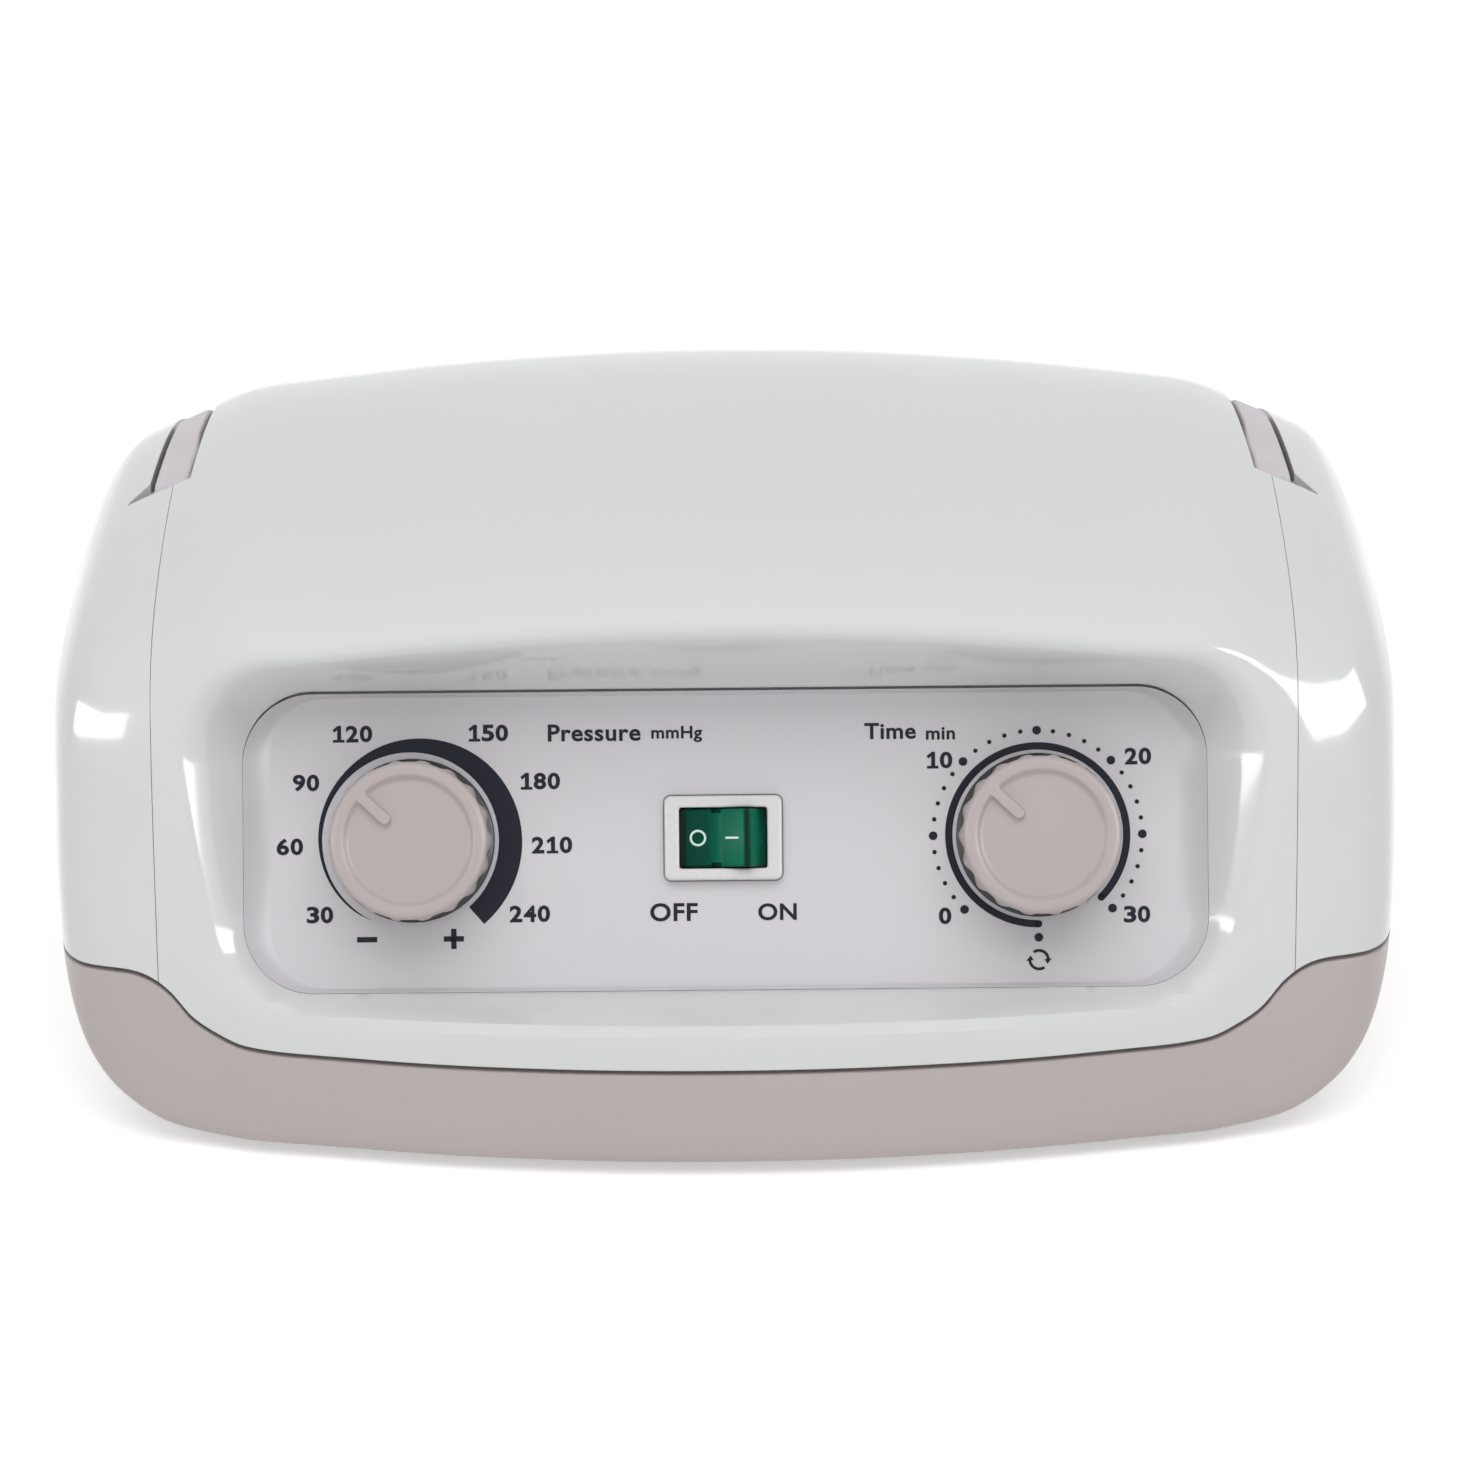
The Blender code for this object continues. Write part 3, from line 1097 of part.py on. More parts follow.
def make_pump_drive():
    """Stator with a window along X, the coil round it, and the magnet slide in the window."""
    half_x, half_y = STATOR_WIDTH / 2, STATOR_DEPTH / 2
    top = STATOR_LOW + STATOR_HEIGHT
    low, high = (PUMP_X - half_x, PUMP_Y - half_y, STATOR_LOW), (PUMP_X + half_x, PUMP_Y + half_y, top)
    stator = box_part("pump_stator", low, high, "iron")
    half = SLIDE_THICKNESS / 2
    room = half + SLACK
    heart = Vector((PUMP_X, PUMP_Y, SLIDE_Z))
    window = Vector((STATOR_WIDTH, room, room))
    boolean(stator, add_cutter("slide_window", box_mesh("slide_window", heart - window, heart + window)))
    slide = Vector((SLIDE_REACH, half, half))
    box_part("magnet_slide", heart - slide, heart + slide, "steel")
    coil_top = top - COIL_DROP
    rings = []
    for grow, level in ((SEAT, coil_top - COIL_HEIGHT), (COIL_WALL, coil_top - COIL_HEIGHT),
                        (COIL_WALL, coil_top), (SEAT, coil_top)):
        ring = rounded_ring(half_x + grow, half_y + grow, SEAT + grow / 2, level, 1)
        rings.append([(x + PUMP_X, y + PUMP_Y, z) for x, y, z in ring])
    add_part("pump_coil", loft_mesh("pump_coil", rings, closed=True), "copper")


def make_pump_heads():
    """At each end a diaphragm and a valve head with its foot and nipple."""
    for label, side in (("left", -1), ("right", 1)):
        near = PUMP_X + side * DIAPHRAGM_AT
        far = near + side * DIAPHRAGM_THICKNESS
        ends = sorted((near, far))
        disc = cross_cylinder("diaphragm", DIAPHRAGM_RADIUS, *ends, PUMP_Y, SLIDE_Z, ROUND)
        add_part("diaphragm_" + label, disc, "rubber")
        inner = PUMP_X + side * HEAD_AT
        outer = inner + side * HEAD_THICKNESS
        left, right = sorted((inner, outer))
        head = cross_cylinder("head", HEAD_RADIUS, left, right, PUMP_Y, SLIDE_Z, ROUND)
        head = add_part("pump_head_" + label, head, "frame")
        half = HEAD_FOOT / 2
        low, high = (left, PUMP_Y - half, STATOR_LOW), (right, PUMP_Y + half, SLIDE_Z - SLACK)
        foot = box_mesh("head_foot", low, high)
        boolean(head, add_cutter("head_foot_" + label, foot), "UNION")
        top = SLIDE_Z + HEAD_RADIUS
        nipple = cylinder_mesh("head_nipple", NIPPLE_RADIUS, top - NIPPLE_RADIUS, top + NIPPLE_LENGTH,
                               SMALL_ROUND, (left + right) / 2, PUMP_Y)
        boolean(head, add_cutter("head_nipple_" + label, nipple), "UNION")


# Air distributor

DISTRIBUTOR_X = PORT_X + PORT_PITCH * (PORT_COUNT - 1) / 2
DISTRIBUTOR_LOW = REAR_LINE_Z - DISTRIBUTOR_HEIGHT / 2
DISTRIBUTOR_TOP = REAR_LINE_Z + DISTRIBUTOR_HEIGHT / 2
LID_TOP = DISTRIBUTOR_TOP + SEAT + LID_THICKNESS
ROTOR_LOW = DISTRIBUTOR_TOP - SLACK - ROTOR_HEIGHT
MOTOR_TOP = DISTRIBUTOR_LOW - SEAT
LID_NIPPLE_X = DISTRIBUTOR_X - LID_NIPPLE_SPREAD
VENT_NIPPLE_X = DISTRIBUTOR_X + LID_NIPPLE_SPREAD


def make_distributor():
    """The manifold on its gear motor, with the rotor disc inside and a lid on top."""
    x, y = DISTRIBUTOR_X, DISTRIBUTOR_Y
    half_x, half_y = DISTRIBUTOR_WIDTH / 2, DISTRIBUTOR_DEPTH / 2
    axis = Matrix.Translation((x, y, 0.0))
    corners = (x - half_x, y - half_y, DISTRIBUTOR_LOW), (x + half_x, y + half_y, DISTRIBUTOR_TOP)
    body = box_part("distributor_body", *corners, "frame")
    well = cylinder_mesh("rotor_well", ROTOR_RADIUS + SLACK, ROTOR_LOW - SLACK, DISTRIBUTOR_TOP + SLACK)
    boolean(body, add_cutter("rotor_well", well, axis))
    bore = cylinder_mesh("rotor_bore", ROTOR_SHAFT_RADIUS + SLACK, DISTRIBUTOR_LOW - SLACK, DISTRIBUTOR_TOP,
                         SMALL_ROUND)
    boolean(body, add_cutter("rotor_bore", bore, axis))
    for k, port in enumerate(port_places()):
        outlet = cylinder_mesh("outlet", NIPPLE_RADIUS, -NIPPLE_RADIUS, NIPPLE_LENGTH / 2, SMALL_ROUND)
        aim = Matrix.Translation((port, y + half_y, REAR_LINE_Z)) @ Matrix.Rotation(-math.pi / 2, 4, "X")
        boolean(body, add_cutter("manifold_outlet_%d" % k, outlet, aim), "UNION")
    corners = (x - half_x, y - half_y, DISTRIBUTOR_TOP + SEAT), (x + half_x, y + half_y, LID_TOP)
    lid = box_part("distributor_lid", *corners, "frame")
    for k, spot in enumerate((LID_NIPPLE_X, VENT_NIPPLE_X)):
        nipple = cylinder_mesh("lid_nipple", NIPPLE_RADIUS, LID_TOP - SLACK, LID_TOP + NIPPLE_LENGTH,
                               SMALL_ROUND, spot, y)
        boolean(lid, add_cutter("lid_nipple_%d" % k, nipple), "UNION")
    shaft_foot = MOTOR_TOP - ROTOR_SHAFT_REACH
    rings = [(ROTOR_SHAFT_RADIUS, shaft_foot), (ROTOR_SHAFT_RADIUS, ROTOR_LOW), (ROTOR_RADIUS, ROTOR_LOW),
             (ROTOR_RADIUS, ROTOR_LOW + ROTOR_HEIGHT)]
    turned_part("distributor_rotor", rings, "black", axis)
    rings = [(MOTOR_RADIUS, FLOOR + SEAT), (MOTOR_RADIUS, MOTOR_TOP), (ROTOR_SHAFT_RADIUS + SLACK, MOTOR_TOP),
             (ROTOR_SHAFT_RADIUS + SLACK, shaft_foot - SLACK)]
    turned_part("distributor_motor", rings, "iron", axis)


def hose(name, start, start_way, end, end_way, pull):
    """A soft tube that leaves both of its ends straight, then bends from one to the other."""
    a, d = start + start_way * HOSE_STRAIGHT, end + end_way * HOSE_STRAIGHT
    b, c = a + start_way * pull, d + end_way * pull
    path = [start]
    for i in range(HOSE_STEPS + 1):
        t = i / HOSE_STEPS
        s = 1 - t
        path.append(a * s ** 3 + b * (3 * s ** 2 * t) + c * (3 * s * t ** 2) + d * t ** 3)
    add_hose(name, path + [end])


def add_hose(name, path):
    """A round tube along a path, with closed ends."""
    curve = bpy.data.curves.new(name, "CURVE")
    curve.dimensions = "3D"
    curve.bevel_depth = HOSE_RADIUS
    curve.bevel_resolution = HOSE_SIDES_LEVEL
    curve.use_fill_caps = True
    line = curve.splines.new("POLY")
    line.points.add(len(path) - 1)
    for point, spot in zip(line.points, path):
        point.co = (*spot, 1.0)
    piece = bpy.data.objects.new(name, curve)
    bpy.data.collections[PARTS].objects.link(piece)
    curve.materials.append(finish(name + "_finish", *COLOURS["hose"]))
    weld = piece.modifiers.new("weld", "WELD")
    weld.merge_threshold = WELD_DISTANCE


def make_hoses():
    """Hoses from manifold to outlets, from pump to manifold, and from valve to pump."""
    near = DISTRIBUTOR_Y + DISTRIBUTOR_DEPTH / 2 + NIPPLE_LENGTH / 2 + SEAT
    far = REAR_Y - REAR_THICKNESS - PORT_TAIL - SEAT
    for k, x in enumerate(port_places()):
        add_hose("outlet_hose_%d" % (k + 1), [Vector((x, y, REAR_LINE_Z)) for y in (near, far)])
    up = Vector((0.0, 0.0, 1.0))
    head_x = HEAD_AT + HEAD_THICKNESS / 2
    head_top = SLIDE_Z + HEAD_RADIUS + NIPPLE_LENGTH + SEAT
    left, right = Vector((PUMP_X - head_x, PUMP_Y, head_top)), Vector((PUMP_X + head_x, PUMP_Y, head_top))
    lid = Vector((LID_NIPPLE_X, DISTRIBUTOR_Y, LID_TOP + NIPPLE_LENGTH + SEAT))
    hose("supply_hose", right, up, lid, up, HOSE_PULL)
    behind = TRAY_BACK - VALVE_LENGTH - NIPPLE_LENGTH - SEAT * 2
    there = panel_matrix(-KNOB_OFFSET, KNOB_RISE, behind)
    hose("pressure_hose", there.translation, -there.col[2].to_3d(), left, up, HOSE_PULL)


# Circuit board

def make_board():
    """The board on its posts, with a transformer and two capacitors."""
    low = FLOOR + BOARD_POST + SEAT
    top = low + BOARD_THICKNESS
    half_x, half_y = BOARD_WIDTH / 2, BOARD_DEPTH / 2
    corners = (BOARD_X - half_x, BOARD_Y - half_y, low), (BOARD_X + half_x, BOARD_Y + half_y, top)
    box_part("circuit_board", *corners, "board")
    seat = top + SEAT
    half_x, half_y = TRANSFORMER_WIDTH / 2, TRANSFORMER_DEPTH / 2
    low_corner = (TRANSFORMER_X - half_x, BOARD_Y - half_y, seat)
    high_corner = (TRANSFORMER_X + half_x, BOARD_Y + half_y, seat + TRANSFORMER_HEIGHT)
    box_part("transformer", low_corner, high_corner, "yellow")
    for k in range(CAPACITOR_COUNT):
        spot = Matrix.Translation((CAPACITOR_X + CAPACITOR_PITCH * k, BOARD_Y, seat))
        can = cylinder_mesh("can", CAPACITOR_RADIUS, 0.0, CAPACITOR_HEIGHT, SMALL_ROUND)
        add_part("capacitor_%d" % (k + 1), can, "black", spot)


def main():
    clear_scene()
    cavity = cavity_cutter("cavity")
    holes = pin_holes()
    cover, tub = make_case(cavity, holes)
    fit_cover(cover)
    fit_tub(tub)
    make_feet_and_screws()
    make_panel()
    make_knob("pressure", -1)
    make_knob("timer", 1)
    make_pressure_valve()
    make_timer_body()
    make_switch()
    make_handle(holes)
    make_rear_panel()
    make_inlet()
    make_fuse_holder()
    make_ports()
    make_pump_stand()
    make_pump_drive()
    make_pump_heads()
    make_distributor()
    make_hoses()
    make_board()


main()
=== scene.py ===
"""Looks of the compression therapy pump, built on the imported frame.

Lengths are in metres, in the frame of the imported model: +Z up, the panel faces -Y.
"""
import json
import math

import bmesh
import bpy
import numpy as np
from mathutils import Matrix, Vector


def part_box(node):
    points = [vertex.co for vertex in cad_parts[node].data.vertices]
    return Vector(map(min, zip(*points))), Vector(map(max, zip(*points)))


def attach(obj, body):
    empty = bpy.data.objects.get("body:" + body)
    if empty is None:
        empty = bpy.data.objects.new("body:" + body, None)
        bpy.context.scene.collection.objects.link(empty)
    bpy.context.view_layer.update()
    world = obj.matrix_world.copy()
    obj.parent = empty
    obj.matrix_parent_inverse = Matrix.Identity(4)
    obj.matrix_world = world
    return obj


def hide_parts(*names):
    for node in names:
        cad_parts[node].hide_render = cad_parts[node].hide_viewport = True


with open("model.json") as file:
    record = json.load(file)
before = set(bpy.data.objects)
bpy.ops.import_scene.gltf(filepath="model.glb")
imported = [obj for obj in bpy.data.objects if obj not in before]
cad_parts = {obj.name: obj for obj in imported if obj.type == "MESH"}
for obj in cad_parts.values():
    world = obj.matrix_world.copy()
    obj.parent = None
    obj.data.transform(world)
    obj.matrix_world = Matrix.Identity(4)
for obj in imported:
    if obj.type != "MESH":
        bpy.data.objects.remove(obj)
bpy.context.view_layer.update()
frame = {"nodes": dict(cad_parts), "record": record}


def low_high(node):
    """Corners of a frame node as vectors."""
    low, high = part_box(node)
    return Vector(low), Vector(high)


def middle(node):
    """Middle of a frame node's box."""
    low, high = low_high(node)
    return (low + high) / 2


# Sizes read from the frame
CASE_LOW, CASE_HIGH = low_high("base_tub")
WIDTH = 2 * low_high("right_side_cover")[1].x
DEPTH = 2 * CASE_HIGH.y
HEIGHT = low_high("centre_cover")[1].z
FOOT_HEIGHT = CASE_LOW.z
BODY_HEIGHT = HEIGHT - FOOT_HEIGHT
SPLIT = low_high("centre_cover")[1].x

# Wall and gaps of the case
WALL = 0.0024
INNER_WALL = 0.0056
SEAM_GAP = 0.0009
SPLIT_GAP = 0.00008
SPLIT_MARGIN = 0.000125
OVERRUN = 0.030
SLACK = 0.0005

# Outline of the case at the middle, front to back: shares of depth and of body height
PROFILE_SHARES = [
    (0.25, 0.0), (0.0, 0.0), (-0.25, 0.0), (-0.43, 0.0), (-0.488, 0.001), (-0.499, 0.006),
    (-0.500, 0.060), (-0.502, 0.150), (-0.497, 0.280), (-0.483, 0.420), (-0.466, 0.560),
    (-0.449, 0.680), (-0.432, 0.765), (-0.404, 0.836), (-0.350, 0.892), (-0.262, 0.942),
    (-0.130, 0.984), (0.020, 1.004), (0.135, 0.988), (0.240, 0.930), (0.330, 0.838),
    (0.405, 0.705), (0.455, 0.535), (0.485, 0.350), (0.500, 0.180), (0.498, 0.070),
    (0.470, 0.008), (0.40, 0.0)]
# Sections from the middle out: share of half width, then how far the section's top drops, its
# bottom rises, its front and its rear draw in, as shares of body height and of depth
SECTION_SHARES = [
    (0.0, 0.0, 0.0, 0.0, 0.0), (0.172, 0.003, 0.0, 0.0034, 0.0024),
    (0.344, 0.0125, 0.0, 0.0137, 0.0095), (0.459, 0.022, 0.0, 0.0244, 0.0170),
    (0.574, 0.0350, 0.0, 0.0384, 0.0263),
    (0.705, 0.0500, 0.0003, 0.0544, 0.0405), (0.746, 0.0590, 0.002, 0.0628, 0.0455),
    (0.787, 0.0768, 0.0065, 0.0696, 0.0504), (0.836, 0.1010, 0.019, 0.0768, 0.0572),
    (0.885, 0.1240, 0.0487, 0.0862, 0.0644), (0.926, 0.1500, 0.089, 0.0985, 0.0735),
    (0.959, 0.1960, 0.148, 0.1170, 0.0880), (0.982, 0.2480, 0.228, 0.1470, 0.1110),
    (0.996, 0.2920, 0.3106, 0.1950, 0.1457), (1.0, 0.3500, 0.3944, 0.2273, 0.1835)]
# Joint between the white covers and the base: shares of half width and of body height
SEAM_SHARES = [(0.0, 0.166), (0.62, 0.165), (0.705, 0.171), (0.745, 0.185), (0.785, 0.211),
               (0.815, 0.248), (0.845, 0.270), (0.880, 0.279), (0.960, 0.2745), (1.05, 0.2705)]
SKIN_POINTS = 240
PROFILE_STEPS = 16
SEAM_STEPS = 120
BROW_SPOT_SHARES = (0.14, 0.66)
BROW_REACH_SHARE = 0.22
BROW_DENSITY = 3.0
SKIN_SECTIONS = 100

# Control panel in its own frame: X across, Y up the panel, Z out of it
PANEL_TILT = math.radians(24.0)
PANEL_ORIGIN = Vector((0.0, -0.0692, 0.0546))
PANEL_WIDTH = 0.1717
PANEL_HEIGHT = 0.0534
PANEL_CORNER = 0.0125
TRAY_DEPTH = 0.0040
TRAY_SIDE_RUN = 0.0050
TRAY_TOP_RUN = 0.0006
TRAY_CURVE = 1.7
TRAY_SHEET = 0.0020
TRAY_GAP = 0.00006
TRAY_TOP_GAP = 0.0004
SURROUND_SLOPES = {"side": math.radians(42.0), "top": math.radians(19.0), "foot": math.radians(27.0)}
SURROUND_SOFT = {"side": 0.0105, "top": 0.0190, "foot": 0.0075}
SURROUND_ARCH_SHARE = 0.45
SURROUND_PIT = 0.0030
TO_WORLD = Matrix.Translation(PANEL_ORIGIN) @ Matrix.Rotation(math.pi / 2 - PANEL_TILT, 4, "X")
TO_PANEL = TO_WORLD.inverted()

# The photograph's view
VIEW_TILT = math.radians(22.8)
VIEW_ROLL = math.radians(-0.55)
VIEW_DISTANCE = 0.900
PHOTO_WIDTH_PX, PHOTO_HEIGHT_PX = 1470, 1471
PANEL_X_PX, PANEL_Y_PX = 725.5, 840.0
PX_PER_METRE = 5620.0
SENSOR_MM = 36.0


# Meshes
TURN_STEPS = 96
CORNER_STEPS = 16
# Angles in degrees past which an edge stays sharp
CREASE = 28.0
HANDLE_CREASE = 32.0
ROUND_CREASE = 35.0
PANEL_CREASE = 40.0
KNOB_CREASE = 50.0


def to_object(name, mesh, mat=None):
    """A new object in the scene with its material."""
    piece = bpy.data.objects.new(name, mesh)
    bpy.context.scene.collection.objects.link(piece)
    if mat:
        mesh.materials.append(mat)
    return piece


def mesh_of(name, build):
    """Runs a function on an empty bmesh and returns its mesh, faces pointing out."""
    shape = bmesh.new()
    build(shape)
    bmesh.ops.recalc_face_normals(shape, faces=shape.faces)
    mesh = bpy.data.meshes.new(name)
    shape.to_mesh(mesh)
    shape.free()
    return mesh


def loft(name, rings, closed=False):
    """A skin through rings of equal point count: capped, or closed on its first ring."""
    def build(shape):
        rows = [[shape.verts.new(p) for p in ring] for ring in rings]
        count = len(rows[0])
        pairs = zip(rows, rows[1:] + rows[:1]) if closed else zip(rows, rows[1:])
        for low, high in pairs:
            for i in range(count):
                j = (i + 1) % count
                shape.faces.new((low[i], low[j], high[j], high[i]))
        if not closed:
            shape.faces.new(rows[0])
            shape.faces.new(rows[-1])
    return mesh_of(name, build)


def box(name, low, high):
    """A box between two corners."""
    size = [b - a for a, b in zip(low, high)]
    centre = [(a + b) / 2 for a, b in zip(low, high)]

    def build(shape):
        place = Matrix.Translation(centre) @ Matrix.Diagonal((*size, 1.0))
        bmesh.ops.create_cube(shape, size=1.0, matrix=place)
    return mesh_of(name, build)


def prism(name, outline, low, high, along="Z"):
    """A flat outline carried from low to high along Y or Z."""
    turn = {"Y": lambda a, b, c: (a, c, b), "Z": lambda a, b, c: (a, b, c)}[along]
    return loft(name, [[turn(a, b, level) for a, b in outline] for level in (low, high)])


def ring_points(radius, height, count, centre=(0.0, 0.0)):
    """Points round a circle."""
    return [(centre[0] + radius * math.cos(math.tau * i / count),
             centre[1] + radius * math.sin(math.tau * i / count), height) for i in range(count)]


def turned(name, outline, count=TURN_STEPS, closed=False):
    """A turned solid from (radius, height) pairs, bottom to top, or a ring where they close."""
    return loft(name, [ring_points(r, z, count) for r, z in outline], closed)


def quarter(steps, first=0):
    """Pairs of 1 - cosine and 1 - sine along a quarter turn."""
    turns = [math.pi / 2 * k / steps for k in range(first, steps + 1)]
    return [(1 - math.cos(turn), 1 - math.sin(turn)) for turn in turns]


def rounded(half_x, half_y, corner, height, steps=CORNER_STEPS):
    """Points round a rectangle with round corners."""
    points = []
    for turn, (sx, sy) in enumerate(((1, 1), (-1, 1), (-1, -1), (1, -1))):
        for i in range(steps + 1):
            angle = (turn + i / steps) * math.pi / 2
            points.append((sx * (half_x - corner) + corner * math.cos(angle),
                           sy * (half_y - corner) + corner * math.sin(angle), height))
    return points


def put(mesh, matrix):
    """Moves a mesh's points."""
    mesh.transform(matrix)
    return mesh


def on_panel(x=0.0, y=0.0, z=0.0):
    """From a place on the panel to the world."""
    return TO_WORLD @ Matrix.Translation((x, y, z))


def evaluated_mesh(item):
    """The mesh that an object or a letter curve gives."""
    return bpy.data.meshes.new_from_object(item.evaluated_get(bpy.context.evaluated_depsgraph_get()))


def carve(piece, cuts, keeps=()):
    """Keeps what lies inside some meshes, cuts other meshes away and drops the cutters."""
    cutters = []
    for mesh, operation in [(m, "INTERSECT") for m in keeps] + [(m, "DIFFERENCE") for m in cuts]:
        cutter = to_object("cutter", mesh)
        step = piece.modifiers.new("cut", "BOOLEAN")
        step.object, step.operation, step.solver = cutter, operation, "MANIFOLD"
        cutters.append(cutter)
    mesh = evaluated_mesh(piece)
    piece.modifiers.clear()
    old, piece.data = piece.data, mesh
    for mat in old.materials:
        if mat.name not in mesh.materials:
            mesh.materials.append(mat)
    for cutter in cutters:
        bpy.data.objects.remove(cutter, do_unlink=True)
    return piece


def add_piece(name, mesh, look, body="housing", node=None, crease=CREASE, cuts=(), keeps=()):
    """A carved, smooth piece that rides with a body and stands for a node."""
    piece = to_object(name, mesh, MATS[look])
    if cuts:
        carve(piece, cuts, keeps)
    if crease:
        piece.data.shade_smooth()
        piece.data.set_sharp_from_angle(angle=math.radians(crease))
    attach(piece, body)
    if node:
        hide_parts(node)


# Materials
NOISE_DETAIL = 3.0
NOISE_LOW, NOISE_HIGH = 0.3, 0.7
BUMP_DETAIL = 2.0
PLASTIC_IOR = 1.5


class Finish:
    """A Principled material whose colour, roughness and bump come from fine noise, and whose colour can
    carry painted light and shade in bands.
    """

    def __init__(self, name, colour, rough, metallic=0.0, coat=0.0, specular=0.5, edges=0.0,
                 drift=None, rough_drift=None, bump=None, light_bands=None):
        self.mat = bpy.data.materials.new(name)
        self.mat.use_nodes = True
        self.mat.diffuse_color = (*colour, 1.0)
        self.tree = self.mat.node_tree
        self.shader = self.tree.nodes["Principled BSDF"]
        for key, value in (("Base Color", (*colour, 1.0)), ("Roughness", rough), ("Metallic", metallic),
                           ("Coat Weight", coat), ("Specular IOR Level", specular),
                           ("IOR", PLASTIC_IOR)):
            self.shader.inputs[key].default_value = value
        self.place = self.tree.nodes.new("ShaderNodeTexCoord").outputs["Object"]
        if drift:
            self.vary_colour(colour, *drift)
        if light_bands:
            self.paint_light_bands(*light_bands)
        if rough_drift:
            scale, low, high = rough_drift
            self.feed("Roughness", self.ramp(self.noise(scale), low, high))
        normal = self.node("ShaderNodeBevel", "Normal", Radius=edges) if edges else None
        if bump:
            scale, height = bump
            normal = self.node("ShaderNodeBump", "Normal", Strength=1.0, Distance=height,
                               Height=self.noise(scale, BUMP_DETAIL), Normal=normal)
        if normal:
            self.feed("Normal", normal)

    def node(self, kind, output, **values):
        """A new node with its inputs set or linked; gives one of its outputs."""
        item = self.tree.nodes.new(kind)
        for key, value in values.items():
            socket = item.inputs[key.replace("_", " ")]
            if isinstance(value, bpy.types.NodeSocket):
                self.tree.links.new(value, socket)
            elif value is not None:
                socket.default_value = value
        return item.outputs[output]

    def feed(self, key, source):
        self.tree.links.new(source, self.shader.inputs[key])

    def noise(self, scale, detail=NOISE_DETAIL):
        return self.node("ShaderNodeTexNoise", "Fac", Vector=self.place, Scale=scale, Detail=detail)

    def ramp(self, source, low, high, start=NOISE_LOW, end=NOISE_HIGH):
        """Carries a value from one range to another."""
        return self.node("ShaderNodeMapRange", "Result", Value=source, From_Min=start, From_Max=end,
                         To_Min=low, To_Max=high)

    def vary_colour(self, colour, scale, amount):
        """Lets the colour drift a little lighter and darker."""
        mix = self.tree.nodes.new("ShaderNodeMix")
        mix.data_type = "RGBA"
        for key, share in (("A", 1.0 - amount), ("B", 1.0 + amount)):
            mix.inputs[key].default_value = (*(min(1.0, c * share) for c in colour), 1.0)
        self.tree.links.new(self.ramp(self.noise(scale), 0.0, 1.0), mix.inputs["Factor"])
        self.feed("Base Color", mix.outputs["Result"])

    def paint_light_bands(self, low, high, stops):
        """Painted light and shade: colours in bands along X, from (share, colour) stops between two
        places.
        """
        along = self.node("ShaderNodeSeparateXYZ", "X", Vector=self.place)
        light_bands = self.tree.nodes.new("ShaderNodeValToRGB")
        self.tree.links.new(self.ramp(along, 0.0, 1.0, low, high), light_bands.inputs["Fac"])
        points = light_bands.color_ramp.elements
        while len(points) < len(stops):
            points.new(1.0)
        for point, (share, colour) in zip(points, stops):
            point.position, point.color = share, (*colour, 1.0)
        self.feed("Base Color", light_bands.outputs["Color"])


# Clear green of the rocker from its off end to its on end, with painted shade at the off end and in a
# narrow band before the on end's face, and painted light rising to a painted highlight at the on end:
# share of the run, colour
ROCKER_PAINTED_LIGHT = [
    (0.0, (0.004, 0.016, 0.012)), (0.06, (0.004, 0.016, 0.012)), (0.09, (0.001, 0.045, 0.028)),
    (0.32, (0.001, 0.060, 0.038)), (0.44, (0.001, 0.110, 0.062)), (0.72, (0.006, 0.150, 0.088)),
    (0.75, (0.001, 0.036, 0.020)), (0.79, (0.001, 0.036, 0.020)), (0.84, (0.008, 0.170, 0.100)),
    (0.93, (0.004, 0.180, 0.105)), (1.0, (0.010, 0.420, 0.250))]
